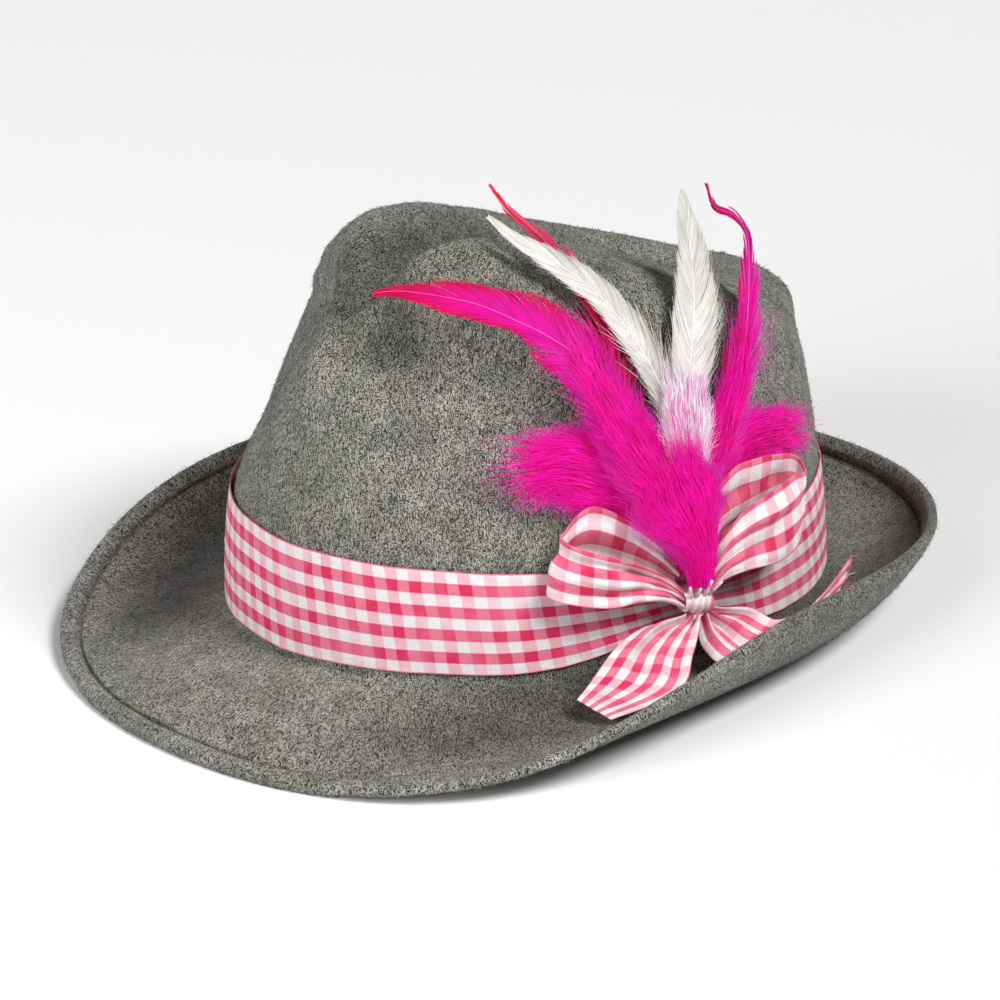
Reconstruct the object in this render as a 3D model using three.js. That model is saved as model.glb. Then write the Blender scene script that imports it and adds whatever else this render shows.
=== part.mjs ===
// Tyrolean hat in wool felt, with a gingham ribbon band, a bow and a bunch of feathers.
// Millimetres, +Z up. The front of the hat is -Y, the wearer's left is +X.
// Angles around the hat run from the front (0) over the wearer's left (90) to the back (180).

import * as THREE from 'three';

const degrees = Math.PI / 180;

// Crown
const crownLength = 202;
const crownWidth = 174;
const crownHeight = 111;
const crownRake = 20;
const crownDome = 4;
const frontLean = 22.5;
const backLean = 6;
const sideLean = 19;
const frontBendPower = 2.6;
const backBendPower = 1.5;
const sideBendPower = 2.1;
const shoulderRadius = 30;

// Crease along the top and a pinch on each side of the front
const creaseDepth = 26;
const creaseFloor = 3;
const creaseSlope = 26;
const creaseStart = 28;
const creaseRise = 25;
const pinchDepth = 19;
const pinchReach = 30;

// Brim
const brimWidth = 50;
const brimFlatShare = 0.17;

// Felt
const feltWall = 2;
const hemWidth = 6;
const hemThickness = 3.6;
const hemGroove = 0.8;
const restFlat = 1;

// Ribbon
const ribbonWidth = 38;
const ribbonWall = 1;
const bandLift = 1.4;
const clearance = 0.3;

// Bow
const bowAngle = 81;
const bowHeight = 21;
const knotWidth = 11;
const knotHeight = 9;
const knotDepth = 9;
const knotBack = 3.4;
const frontLoopReach = 38;
const backLoopReach = 33;
const pleatDepth = 1.1;
const pleats = 3;

// Feathers and down
const featherWidth = 12;
const featherWall = 1.1;
const featherLayer = 1.5;
const underDown = 2.2;
const outerDown = 5;

// Mesh steps
const turnSteps = 60;

// Shoulder between the crown's side and its top, as shares of shoulderRadius
const shoulder = [
  { angle: 0, inset: 1.05, drop: 0.8 },
  { angle: 45, inset: 1.5, drop: 1.15 },
  { angle: 90, inset: 1.05, drop: 0.46 },
  { angle: 135, inset: 0.98, drop: 0.57 },
  { angle: 180, inset: 0.8, drop: 0.3 },
];

// Brim profile: its slope at the crown and at the lip in degrees, and its share of brimWidth
const brim = [
  { angle: 0, root: -13, lip: -33, width: 1.0 },
  { angle: 45, root: -21, lip: 8, width: 1.1 },
  { angle: 90, root: -5, lip: 84, width: 0.9 },
  { angle: 135, root: 6, lip: 58, width: 0.82 },
  { angle: 180, root: 0, lip: 50, width: 0.84 },
];

// Bow loops from the knot and back to it. Both ribbon edges, as along, up and out: shares of the loop's reach
// from the knot's side, then of ribbonWidth over the bow's middle and off the crown.
const frontLoop = [
  { low: [0, -0.03, 0.24], high: [0, 0.10, 0.25] },
  { low: [0.14, 0.05, 0.27], high: [0.14, 0.24, 0.27] },
  { low: [0.34, 0.09, 0.29], high: [0.32, 0.36, 0.29] },
  { low: [0.55, 0.08, 0.30], high: [0.55, 0.46, 0.29] },
  { low: [0.77, 0.11, 0.27], high: [0.75, 0.54, 0.27] },
  { low: [0.95, 0.16, 0.22], high: [0.86, 0.60, 0.23] },
  { low: [1.00, 0.19, 0.16], high: [0.89, 0.64, 0.20] },
  { low: [0.93, 0.20, 0.10], high: [0.84, 0.68, 0.17] },
  { low: [0.70, 0.17, 0.08], high: [0.60, 0.79, 0.16] },
  { low: [0.45, 0.13, 0.08], high: [0.36, 0.73, 0.17] },
  { low: [0.20, 0.09, 0.09], high: [0.13, 0.55, 0.19] },
  { low: [0, 0.02, 0.12], high: [0, 0.30, 0.18] },
];
const backLoop = [
  { low: [0, 0.02, 0.25], high: [0, 0.22, 0.25] },
  { low: [0.13, 0.14, 0.31], high: [0.15, 0.36, 0.34] },
  { low: [0.34, 0.18, 0.37], high: [0.38, 0.47, 0.43] },
  { low: [0.60, 0.18, 0.39], high: [0.62, 0.53, 0.49] },
  { low: [0.82, 0.26, 0.34], high: [0.84, 0.55, 0.48] },
  { low: [0.97, 0.35, 0.24], high: [1.00, 0.60, 0.41] },
  { low: [0.95, 0.38, 0.14], high: [0.93, 0.73, 0.37] },
  { low: [0.80, 0.36, 0.10], high: [0.78, 0.83, 0.35] },
  { low: [0.60, 0.31, 0.08], high: [0.60, 0.90, 0.31] },
  { low: [0.38, 0.26, 0.08], high: [0.40, 0.90, 0.25] },
  { low: [0.18, 0.20, 0.10], high: [0.20, 0.78, 0.19] },
  { low: [0, 0.08, 0.13], high: [0, 0.36, 0.18] },
];

// Bow tails from the knot to the brim. An edge on the side is along, up and out as shares of ribbonWidth;
// an edge on the brim is along, its share of the brim's width, and its lift as a share of ribbonWidth.
const frontTail = [
  { left: { side: [-0.12, -0.15, 0.20] }, right: { side: [0.03, -0.15, 0.22] } },
  { left: { side: [-0.42, -0.12, 0.22] }, right: { side: [-0.05, -0.24, 0.32] } },
  { left: { side: [-0.72, -0.20, 0.36] }, right: { side: [-0.18, -0.34, 0.46] } },
  { left: { side: [-0.92, -0.37, 0.47] }, right: { brim: [-0.42, 0.66, 0.10] } },
  { left: { side: [-1.06, -0.52, 0.53] }, right: { brim: [-0.87, 0.54, 0.05] } },
];
const backTail = [
  { left: { side: [0.05, -0.15, 0.22] }, right: { side: [0.16, -0.13, 0.18] } },
  { left: { side: [0.00, -0.33, 0.32] }, right: { side: [0.46, -0.18, 0.30] } },
  { left: { brim: [0.06, 0.50, 0.12] }, right: { side: [0.56, -0.26, 0.48] } },
  { left: { brim: [0.30, 0.60, 0.06] }, right: { side: [0.70, -0.24, 0.56] } },
  { left: { brim: [0.72, 0.62, 0.06] }, right: { side: [0.92, -0.15, 0.58] } },
  { left: { brim: [1.06, 0.66, 0.08] }, right: { side: [1.20, -0.06, 0.58] } },
];

// Feathers from tip to quill: angle around the hat, height as a share of crownHeight, and the vane's two
// sides as shares of featherWidth. Layer 0 lies closest to the crown.
const pinkLong = { layer: 2, rows: [
  { angle: 14.5, height: 1.00, upper: 0.07, lower: 0.07 },
  { angle: 20, height: 1.01, upper: 0.15, lower: 0.17 },
  { angle: 28, height: 1.00, upper: 0.35, lower: 0.36 },
  { angle: 37, height: 0.975, upper: 0.50, lower: 0.42 },
  { angle: 46, height: 0.93, upper: 0.75, lower: 0.30 },
  { angle: 53, height: 0.89, upper: 0.72, lower: 0.72 },
  { angle: 60, height: 0.83, upper: 0.55, lower: 0.75 },
  { angle: 67, height: 0.69, upper: 0.45, lower: 0.50 },
  { angle: 74.5, height: 0.50, upper: 0.30, lower: 0.25 },
  { angle: 79.8, height: 0.37, upper: 0.12, lower: 0.12 },
  { angle: 80.6, height: 0.27, upper: 0.06, lower: 0.06 },
] };
const redHackle = { layer: 0, rows: [
  { angle: 33, height: 1.27, upper: 0.04, lower: 0.04 },
  { angle: 39.5, height: 1.20, upper: 0.10, lower: 0.10 },
  { angle: 45, height: 1.155, upper: 0.16, lower: 0.14 },
  { angle: 53, height: 1.09, upper: 0.25, lower: 0.20 },
  { angle: 60, height: 1.00, upper: 0.32, lower: 0.28 },
  { angle: 64, height: 0.93, upper: 0.34, lower: 0.30 },
  { angle: 67.5, height: 0.82, upper: 0.30, lower: 0.30 },
  { angle: 72.5, height: 0.60, upper: 0.22, lower: 0.22 },
  { angle: 78.4, height: 0.40, upper: 0.07, lower: 0.07 },
  { angle: 79.6, height: 0.27, upper: 0.06, lower: 0.06 },
] };
const whiteHackle = { layer: 1, rows: [
  { angle: 34.5, height: 1.19, upper: 0.04, lower: 0.04 },
  { angle: 43, height: 1.125, upper: 0.18, lower: 0.18 },
  { angle: 53, height: 1.065, upper: 0.32, lower: 0.28 },
  { angle: 63, height: 0.99, upper: 0.42, lower: 0.36 },
  { angle: 70.5, height: 0.89, upper: 0.46, lower: 0.40 },
  { angle: 76, height: 0.78, upper: 0.42, lower: 0.38 },
  { angle: 79.5, height: 0.66, upper: 0.28, lower: 0.28 },
  { angle: 80.5, height: 0.47, upper: 0.10, lower: 0.10 },
  { angle: 80.2, height: 0.27, upper: 0.06, lower: 0.06 },
] };
const whitePlume = { layer: 0, rows: [
  { angle: 85.3, height: 1.215, upper: 0.05, lower: 0.05 },
  { angle: 86, height: 1.12, upper: 0.30, lower: 0.28 },
  { angle: 86.7, height: 1.03, upper: 0.42, lower: 0.36 },
  { angle: 86.5, height: 0.92, upper: 0.50, lower: 0.44 },
  { angle: 85, height: 0.81, upper: 0.46, lower: 0.42 },
  { angle: 83, height: 0.68, upper: 0.30, lower: 0.30 },
  { angle: 81.8, height: 0.47, upper: 0.08, lower: 0.08 },
  { angle: 81.4, height: 0.27, upper: 0.06, lower: 0.06 },
] };
const pinkCurl = { layer: 1, rows: [
  { angle: 92, height: 1.215, upper: 0.04, lower: 0.04 },
  { angle: 94, height: 1.15, upper: 0.10, lower: 0.10 },
  { angle: 100, height: 1.11, upper: 0.14, lower: 0.12 },
  { angle: 104, height: 1.05, upper: 0.16, lower: 0.14 },
  { angle: 103, height: 0.97, upper: 0.30, lower: 0.26 },
  { angle: 101, height: 0.885, upper: 0.40, lower: 0.34 },
  { angle: 98, height: 0.79, upper: 0.40, lower: 0.36 },
  { angle: 92, height: 0.665, upper: 0.32, lower: 0.32 },
  { angle: 86, height: 0.50, upper: 0.16, lower: 0.16 },
  { angle: 82.8, height: 0.40, upper: 0.08, lower: 0.08 },
  { angle: 81.9, height: 0.27, upper: 0.06, lower: 0.06 },
] };

// Clumps of down, from the tips of their locks to the quills, in the same columns
const downFront = { rows: [
  { angle: 51, height: 0.62, upper: 0.30, lower: 0.30 },
  { angle: 55, height: 0.63, upper: 1.25, lower: 1.15 },
  { angle: 61, height: 0.61, upper: 1.60, lower: 1.30 },
  { angle: 67, height: 0.57, upper: 1.50, lower: 1.00 },
  { angle: 73, height: 0.51, upper: 1.00, lower: 0.55 },
  { angle: 78.5, height: 0.42, upper: 0.30, lower: 0.20 },
  { angle: 80, height: 0.27, upper: 0.14, lower: 0.14 },
] };
const downBack = { rows: [
  { angle: 119, height: 0.535, upper: 0.30, lower: 0.30 },
  { angle: 113, height: 0.555, upper: 0.75, lower: 0.70 },
  { angle: 105, height: 0.58, upper: 0.85, lower: 0.80 },
  { angle: 98, height: 0.59, upper: 0.80, lower: 0.80 },
  { angle: 91, height: 0.56, upper: 0.65, lower: 0.60 },
  { angle: 84.5, height: 0.44, upper: 0.22, lower: 0.20 },
  { angle: 83, height: 0.27, upper: 0.12, lower: 0.12 },
] };
const downCentre = { over: 2, rows: [
  { angle: 76.5, height: 0.535, upper: 0.55, lower: 0.55 },
  { angle: 77.5, height: 0.50, upper: 1.15, lower: 1.15 },
  { angle: 78.8, height: 0.455, upper: 1.10, lower: 1.05 },
  { angle: 80, height: 0.40, upper: 0.60, lower: 0.55 },
  { angle: 81, height: 0.34, upper: 0.34, lower: 0.34 },
  { angle: 81, height: 0.265, upper: 0.28, lower: 0.28 },
] };
const downWhite = { over: 1, rows: [
  { angle: 81, height: 0.80, upper: 0.35, lower: 0.35 },
  { angle: 80.8, height: 0.76, upper: 0.85, lower: 0.75 },
  { angle: 80.6, height: 0.69, upper: 0.95, lower: 0.80 },
  { angle: 80.6, height: 0.62, upper: 0.70, lower: 0.70 },
  { angle: 80.8, height: 0.57, upper: 0.35, lower: 0.35 },
] };

// Pinch, as shares of half the crown's length and of its height, and the share of its depth each way
const pinch = { along: -0.705, up: 0.885, spreadAlong: 0.183, spreadUp: 0.35, inward: 0.93, back: 0.36 };

// Crease: where it ends towards the back and fades, as shares of half the crown's length, how much deeper it is
// at the front, and how the line that it starts at leans, as a share of crownRake
const crease = { end: 0.7, fade: 0.3, grow: 0.236, lean: 1.12 };

const smooth = (x) => {
  const c = Math.min(Math.max(x, 0), 1);
  return c * c * (3 - 2 * c);
};

const mix = (a, b, share) => a + (b - a) * share;

// Smooth curve through the numbers of one column, read at a place counted in rows
function curveThrough(values, place) {
  const last = values.length - 1;
  const low = Math.min(Math.max(Math.floor(place), 0), last - 1);
  const f = place - low;
  const at = (i) => values[Math.min(Math.max(i, 0), last)];
  const [p0, p1, p2, p3] = [at(low - 1), at(low), at(low + 1), at(low + 2)];
  return p1 + 0.5 * f * (p2 - p0 + f * (2 * p0 - 5 * p1 + 4 * p2 - p3 + f * (3 * (p1 - p2) + p3 - p0)));
}

// One column of a table of five stations, read around the hat, the same on both sides
function around(table, column, angle) {
  const turn = Math.abs(((((angle + 180) % 360) + 360) % 360) - 180) / 45;
  const values = table.map((row) => row[column]);
  const mirrored = [values[1], ...values, values[3]];
  return curveThrough(mirrored, turn + 1);
}

// Outward direction of the crown's base oval
function baseDirection(angle) {
  const t = angle * degrees;
  return new THREE.Vector3(Math.sin(t) / (crownWidth / 2), -Math.cos(t) / (crownLength / 2), 0).normalize();
}

const rimHeight = (angle) => crownHeight + crownRake * Math.cos(angle * degrees);
const sideHeight = (angle) => rimHeight(angle) - around(shoulder, 'drop', angle) * shoulderRadius;

// Share of a lean at a share of the side's height, straight on above the side
const leanShare = (share, bend) => (share <= 1 ? Math.max(share, 0) ** bend : 1 + bend * (share - 1));

// Oval of the crown's side at a share of its height
function sideOval(share) {
  const front = frontLean * leanShare(share, frontBendPower);
  const back = backLean * leanShare(share, backBendPower);
  return {
    halfLength: crownLength / 2 - (front + back) / 2,
    halfWidth: crownWidth / 2 - sideLean * leanShare(share, sideBendPower),
    middle: (front - back) / 2,
  };
}

// Crown's outer surface: reach 0 to 1 climbs the side, 1 to 2 the shoulder, 2 to 3 runs to the middle of the top
function crownPoint(angle, reach) {
  const t = angle * degrees;
  const side = Math.min(Math.max(reach, 0), 1);
  const bend = Math.min(Math.max(reach - 1, 0), 1) * Math.PI / 2;
  const inward = Math.min(Math.max(reach - 2, 0), 1);
  const oval = sideOval(side);
  const inset = around(shoulder, 'inset', angle) * shoulderRadius * (1 - Math.cos(bend));
  const drop = around(shoulder, 'drop', angle) * shoulderRadius;
  let x = (oval.halfWidth - inset) * Math.sin(t) * (1 - inward);
  let y = oval.middle - (oval.halfLength - inset) * Math.cos(t) * (1 - inward);
  let z = sideHeight(angle) * side + drop * Math.sin(bend);
  z = mix(z, crownHeight + crownDome, smooth(inward));

  const halfLength = crownLength / 2;
  const centre = sideOval(1).middle;
  const slopedTop = crownHeight - creaseStart + crownRake * crease.lean * (centre - y) / halfLength;
  const nearTop = smooth((z - slopedTop) / creaseRise);
  const along = smooth((crease.end - y / halfLength) / crease.fade) * (1 - crease.grow * y / halfLength);
  const across = 1 - smooth((Math.abs(x) - creaseFloor) / creaseSlope);
  z -= creaseDepth * across * along * nearTop;

  const fromPinch = ((y / halfLength - pinch.along) / pinch.spreadAlong) ** 2
    + ((z / crownHeight - pinch.up) / pinch.spreadUp) ** 2;
  const weight = Math.exp(-fromPinch) * Math.tanh(Math.abs(x) / pinchReach);
  x -= Math.sign(x) * pinch.inward * pinchDepth * weight;
  y += pinch.back * pinchDepth * weight;
  return new THREE.Vector3(x, y, z);
}

function crownNormal(angle, reach) {
  const step = 0.02;
  const low = Math.max(reach - step, 0);
  const high = Math.min(reach + step, 2.98);
  const across = crownPoint(angle + 1, reach).sub(crownPoint(angle - 1, reach));
  const up = crownPoint(angle, high).sub(crownPoint(angle, low));
  return across.cross(up).normalize();
}

// Brim's upper surface at a share of its width, with its upward normal
function brimPlace(angle, share) {
  const root = around(brim, 'root', angle) * degrees;
  const lip = around(brim, 'lip', angle) * degrees;
  const width = around(brim, 'width', angle) * brimWidth;
  const slopeAt = (s) => mix(root, lip, smooth((s - brimFlatShare) / (1 - brimFlatShare)));
  const steps = 24;
  let out = 0;
  let up = 0;
  for (let i = 0; i < steps; i += 1) {
    const slope = slopeAt(share * (i + 0.5) / steps);
    out += Math.cos(slope) * width * share / steps;
    up += Math.sin(slope) * width * share / steps;
  }
  const direction = baseDirection(angle);
  const t = angle * degrees;
  const slope = slopeAt(share);
  const point = new THREE.Vector3(crownWidth / 2 * Math.sin(t), -crownLength / 2 * Math.cos(t), up);
  point.addScaledVector(direction, out);
  const normal = direction.clone().multiplyScalar(-Math.sin(slope)).setZ(Math.cos(slope));
  return { point, normal };
}

function brimPoint(angle, share, lift) {
  const place = brimPlace(angle, share);
  return place.point.addScaledVector(place.normal, lift);
}

// Point over the crown's side, before the shoulder turns in: what the band, bow and feathers follow
function sidePoint(angle, height, lift) {
  const t = angle * degrees;
  const share = height / sideHeight(angle);
  const oval = sideOval(share);
  const above = sideOval(share + 0.01);
  const tilt = Math.atan2(oval.halfWidth - above.halfWidth, 0.01 * sideHeight(angle));
  const normal = new THREE.Vector3(Math.sin(t) / oval.halfWidth, -Math.cos(t) / oval.halfLength, 0).normalize();
  normal.multiplyScalar(Math.cos(tilt)).setZ(Math.sin(tilt));
  const point = new THREE.Vector3(oval.halfWidth * Math.sin(t), oval.middle - oval.halfLength * Math.cos(t), height);
  return point.addScaledVector(normal, lift);
}

// Mesh building
function geometryFrom(points, faces) {
  let volume = 0;
  for (const [a, b, c] of faces) {
    volume += points[a].dot(points[b].clone().cross(points[c]));
  }
  const turned = volume < 0 ? faces.map(([a, b, c]) => [a, c, b]) : faces;
  const geometry = new THREE.BufferGeometry();
  geometry.setAttribute('position', new THREE.Float32BufferAttribute(points.flatMap((p) => p.toArray()), 3));
  geometry.setIndex(turned.flat());
  geometry.computeVertexNormals();
  return geometry;
}

// Closed skin through rings that all hold the same number of points
function ringFaces(ringCount, size) {
  const faces = [];
  for (let r = 0; r < ringCount - 1; r += 1) {
    for (let i = 0; i < size; i += 1) {
      const a = r * size + i;
      const b = r * size + (i + 1) % size;
      faces.push([a, b, b + size], [a, b + size, a + size]);
    }
  }
  return faces;
}

// Solid through cross-sections; each end is closed by strips between opposite points
function loft(sections) {
  const size = sections[0].length;
  const faces = ringFaces(sections.length, size);
  const close = (first, flip) => {
    for (let i = 0; i < size / 2 - 1; i += 1) {
      const [a, b, c, d] = [first + i, first + i + 1, first + size - 2 - i, first + size - 1 - i];
      faces.push(flip ? [a, c, b] : [a, b, c], flip ? [a, d, c] : [a, c, d]);
    }
  };
  close(0, true);
  close((sections.length - 1) * size, false);
  return geometryFrom(sections.flat(), faces);
}

// Solid whose rings run around the hat from one pole to another
function domed(firstPole, rings, lastPole) {
  const size = rings[0].length;
  const points = [...rings.flat(), firstPole, lastPole];
  const faces = ringFaces(rings.length, size);
  const first = points.length - 2;
  const last = points.length - 1;
  const lastRing = (rings.length - 1) * size;
  for (let i = 0; i < size; i += 1) {
    const next = (i + 1) % size;
    faces.push([first, next, i]);
    faces.push([last, lastRing + i, lastRing + next]);
  }
  return geometryFrom(points, faces);
}

const turnAngles = Array.from({ length: turnSteps }, (_, i) => 360 * i / turnSteps);

// Felt crown and brim, one piece: over the crown and brim, round the hem, and back inside
function feltPoints() {
  const ring = (pointAt) => turnAngles.map(pointAt);
  const outside = (reach) => ring((a) => crownPoint(a, reach));
  const inside = (reach) => ring((a) => crownPoint(a, reach).addScaledVector(crownNormal(a, reach), -feltWall));
  const onBrim = (share, lift) => ring((a) => brimPoint(a, share, lift));
  const hemStart = (a) => 1 - hemWidth / (around(brim, 'width', a) * brimWidth);
  const onHem = (part, lift) => ring((a) => brimPoint(a, mix(hemStart(a), 1, part), lift));
  const hemRise = hemThickness - feltWall;

  const rings = [
    ...[2.88, 2.75, 2.6, 2.45, 2.3, 2.15, 2, 1.8, 1.6, 1.4, 1.2, 1].map(outside),
    ...[0.87, 0.74, 0.6, 0.45, 0.3, 0.15, 0].map(outside),
    ...[0.08, 0.2, 0.33, 0.47, 0.6, 0.72].map((share) => onBrim(share, 0)),
    onHem(-0.25, 0),
    onHem(0, -hemGroove),
    onHem(0.15, hemRise),
    onHem(0.85, hemRise),
    onHem(1.05, hemRise / 2 - feltWall / 2),
    onHem(0.9, -feltWall),
    ...[0.74, 0.58, 0.42, 0.28, 0.14, 0.03].map((share) => onBrim(share, -feltWall)),
    ...[0, 0.2, 0.4, 0.6, 0.8, 1, 1.33, 1.67, 2, 2.2, 2.4, 2.6, 2.8].map(inside),
  ];
  const top = crownPoint(0, 3);
  return { rings, top, under: top.clone().setZ(top.z - feltWall) };
}

// Pitch and drop that bring the felt's front edge and its back down to one floor
function restingPlace(points) {
  const lowest = (pitch, wanted) => {
    let low = Infinity;
    for (const p of points) {
      if (wanted(p)) {
        low = Math.min(low, p.z * Math.cos(pitch) + p.y * Math.sin(pitch));
      }
    }
    return low;
  };
  let [flat, steep] = [-10 * degrees, 10 * degrees];
  for (let i = 0; i < 40; i += 1) {
    const pitch = (flat + steep) / 2;
    if (lowest(pitch, (p) => p.y < 0) < lowest(pitch, (p) => p.y > 0)) {
      steep = pitch;
    } else {
      flat = pitch;
    }
  }
  const pitch = (flat + steep) / 2;
  return { pitch, drop: lowest(pitch, () => true) };
}

const feltShape = feltPoints();
const resting = restingPlace(feltShape.rings.flat());

// The felt is pressed flat where it touches the floor
function pressFlat(point) {
  const [sin, cos] = [Math.sin(resting.pitch), Math.cos(resting.pitch)];
  const height = point.z * cos + point.y * sin - resting.drop;
  if (height < restFlat) {
    point.z -= height * cos;
    point.y -= height * sin;
  }
}

function feltBody() {
  feltShape.rings.flat().forEach(pressFlat);
  return domed(feltShape.top, feltShape.rings, feltShape.under);
}

// Ribbon band, a closed ring round the foot of the crown
function ribbonBand() {
  const rows = [0, 0.33, 0.67, 1].map((share) => bandLift + share * ribbonWidth);
  const ring = (height, lift) => turnAngles.map((a) => sidePoint(a, height, lift));
  const outer = rows.map((height) => ring(height, clearance + ribbonWall));
  const inner = rows.map((height) => ring(height, clearance)).reverse();
  const rings = [...outer, ...inner, outer[0]];
  const points = rings.slice(0, -1).flat();
  const faces = ringFaces(rings.length, turnSteps).map((face) => face.map((i) => i % points.length));
  return geometryFrom(points, faces);
}

// Bow
const arcPerDegree = sidePoint(bowAngle + 0.5, bowHeight, 0).distanceTo(sidePoint(bowAngle - 0.5, bowHeight, 0));

// Place by millimetres along the band from the bow's middle, over it, and off the crown
const bowPoint = (along, up, out) => sidePoint(bowAngle + along / arcPerDegree, bowHeight + up, out);

// Ribbon between two edge lines, a row of each station across, pleated by a share of pleatDepth
function ribbonStrip(edges, stations, pleatAt) {
  const across = 7;
  const half = ribbonWall / 2;
  const curve = (line) => new THREE.CatmullRomCurve3(line, false, 'centripetal').getPoints(stations - 1);
  const low = curve(edges.map((edge) => edge.low));
  const high = curve(edges.map((edge) => edge.high));
  const middle = low.map((p, i) => p.clone().lerp(high[i], 0.5));
  const sections = middle.map((_, i) => {
    const ahead = middle[Math.min(i + 1, stations - 1)].clone().sub(middle[Math.max(i - 1, 0)]);
    const normal = high[i].clone().sub(low[i]).cross(ahead).normalize();
    const depth = pleatDepth * pleatAt(i / (stations - 1));
    const row = Array.from({ length: across }, (__, k) => {
      const share = k / (across - 1);
      const wave = depth * Math.sin(2 * Math.PI * pleats * share);
      return { point: low[i].clone().lerp(high[i], share), wave };
    });
    const face = (side) => row.map(({ point, wave }) => point.clone().addScaledVector(normal, wave + side * half));
    return [...face(1), ...face(-1).reverse()];
  });
  return loft(sections);
}

// A loop of the bow, towards the front of the hat (-1) or the back (1)
function bowLoop(table, reach, direction) {
  const start = knotWidth / 2 + clearance + ribbonWall / 2;
  const place = ([along, up, out]) => bowPoint(
    direction * (start + along * reach), up * ribbonWidth, out * ribbonWidth);
  const edges = table.map((row) => ({ low: place(row.low), high: place(row.high) }));
  return ribbonStrip(edges, 24, (share) => Math.abs(2 * share - 1) ** 2);
}

// A tail of the bow
function bowTail(table) {
  const place = ({ side, brim: rest }) => (side
    ? bowPoint(...side.map((share) => share * ribbonWidth))
    : brimPoint(bowAngle + rest[0] * ribbonWidth / arcPerDegree, rest[1], rest[2] * ribbonWidth));
  const edges = table.map((row) => ({ low: place(row.left), high: place(row.right) }));
  return ribbonStrip(edges, 11, (share) => (1 - share) ** 2);
}

// Wrap round the middle of the bow: a barrel along the band
function bowKnot() {
  const sides = 12;
  const rows = [-1, -0.8, -0.4, 0, 0.4, 0.8, 1];
  const sections = rows.map((row) => {
    const swell = 0.8 + 0.2 * Math.sqrt(1 - row * row);
    return Array.from({ length: sides }, (_, i) => {
      const turn = 2 * Math.PI * (i + 0.5) / sides;
      const up = swell * knotHeight / 2 * Math.cos(turn);
      const out = knotBack + knotDepth / 2 * (1 + swell * Math.sin(turn));
      return bowPoint(row * knotWidth / 2, up, out);
    });
  });
  return loft(sections);
}

// Feather or clump of down: a lens-shaped section carried along rows from tip to quill
function plume(table, lift, thickness, edgeShare, stations, locks) {
  const column = (name, place) => curveThrough(table.rows.map((row) => row[name]), place);
  const centre = (place, out) => sidePoint(column('angle', place), column('height', place) * crownHeight, out);
  const last = table.rows.length - 1;
  const sections = Array.from({ length: stations }, (_, i) => {
    const place = last * i / (stations - 1);
    const point = centre(place, lift);
    const normal = centre(place, lift + 1).sub(point).normalize();
    const along = centre(place + 0.05, lift).sub(centre(place - 0.05, lift));
    const sideways = along.cross(normal).normalize();
    const lobe = 1 + locks * (i % 2 ? 1 : -1) * Math.sin(Math.PI * i / (stations - 1));
    const upper = column('upper', place) * featherWidth * lobe;
    const lower = column('lower', place) * featherWidth * lobe;
    const thin = Math.min(thickness, upper + lower) / 2;
    const shape = [[1, edgeShare], [0.45, 1], [-0.45, 1], [-1, edgeShare]];
    const face = (side) => shape.map(([across, thick]) => point.clone()
      .addScaledVector(sideways, across > 0 ? across * upper : across * lower)
      .addScaledVector(normal, side * thick * thin));
    return [...face(1), ...face(-1).reverse()];
  });
  return loft(sections);
}

// Down lies on the band under the feathers and over them, and the feathers in layers between
const underLift = clearance + ribbonWall + clearance + underDown / 2;
const featherLift = (layer) => underLift + underDown / 2 + clearance + featherWall / 2 + layer * featherLayer;
const overLift = (layer) => featherLift(layer) + featherWall / 2 + clearance + outerDown / 2;

const feather = (table) => plume(table, featherLift(table.layer), featherWall, 0.35, 15, 0);
const downUnder = (table) => plume(table, underLift, underDown, 0.4, 13, 0.12);
const downOver = (table) => plume(table, overLift(table.over), outerDown, 0.3, 11, 0.1);

const group = new THREE.Group();
const cloth = (color, roughness) => new THREE.MeshStandardMaterial({ color, roughness, metalness: 0 });
const felt = cloth(0x77766f, 0.95);
const gingham = cloth(0xe58aa6, 0.85);
const pink = cloth(0xec00a0, 0.7);
const crimson = cloth(0xb0123f, 0.7);
const white = cloth(0xf2eeea, 0.75);

const pieces = [
  ['felt_body', feltBody(), felt],
  ['ribbon_band', ribbonBand(), gingham],
  ['bow_knot', bowKnot(), gingham],
  ['bow_loop_front', bowLoop(frontLoop, frontLoopReach, -1), gingham],
  ['bow_loop_back', bowLoop(backLoop, backLoopReach, 1), gingham],
  ['bow_tail_front', bowTail(frontTail), gingham],
  ['bow_tail_back', bowTail(backTail), gingham],
  ['feather_pink_long', feather(pinkLong), pink],
  ['feather_red_hackle', feather(redHackle), crimson],
  ['feather_white_hackle', feather(whiteHackle), white],
  ['feather_white_plume', feather(whitePlume), white],
  ['feather_pink_curl', feather(pinkCurl), pink],
  ['down_pink_front', downUnder(downFront), pink],
  ['down_pink_back', downUnder(downBack), pink],
  ['down_pink_centre', downOver(downCentre), pink],
  ['down_white', downOver(downWhite), white],
];
for (const [name, geometry, material] of pieces) {
  const mesh = new THREE.Mesh(geometry, material);
  mesh.name = name;
  group.add(mesh);
}

// The hat rests on its brim, over the middle of its bounding box
group.rotation.x = resting.pitch;
group.position.z = -resting.drop;
const middle = new THREE.Box3().setFromObject(group, true).getCenter(new THREE.Vector3());
group.position.x -= middle.x;
group.position.y -= middle.y;

export default group;
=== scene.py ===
"""A Tyrolean hat in melange felt, with a gingham ribbon, a bow and a bunch of feathers.

The shapes are worked out in millimetres, in the hat's own frame: the foot of the crown lies in the plane
z = 0, the front is -Y and the wearer's left is +X. Angles around the hat run from the front (0) over the
wearer's left (90) to the back (180). The hat is then tipped on to its brim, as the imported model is.
"""

import logging
import math
from collections.abc import Callable
from dataclasses import dataclass
from enum import Enum
from functools import cache

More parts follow.
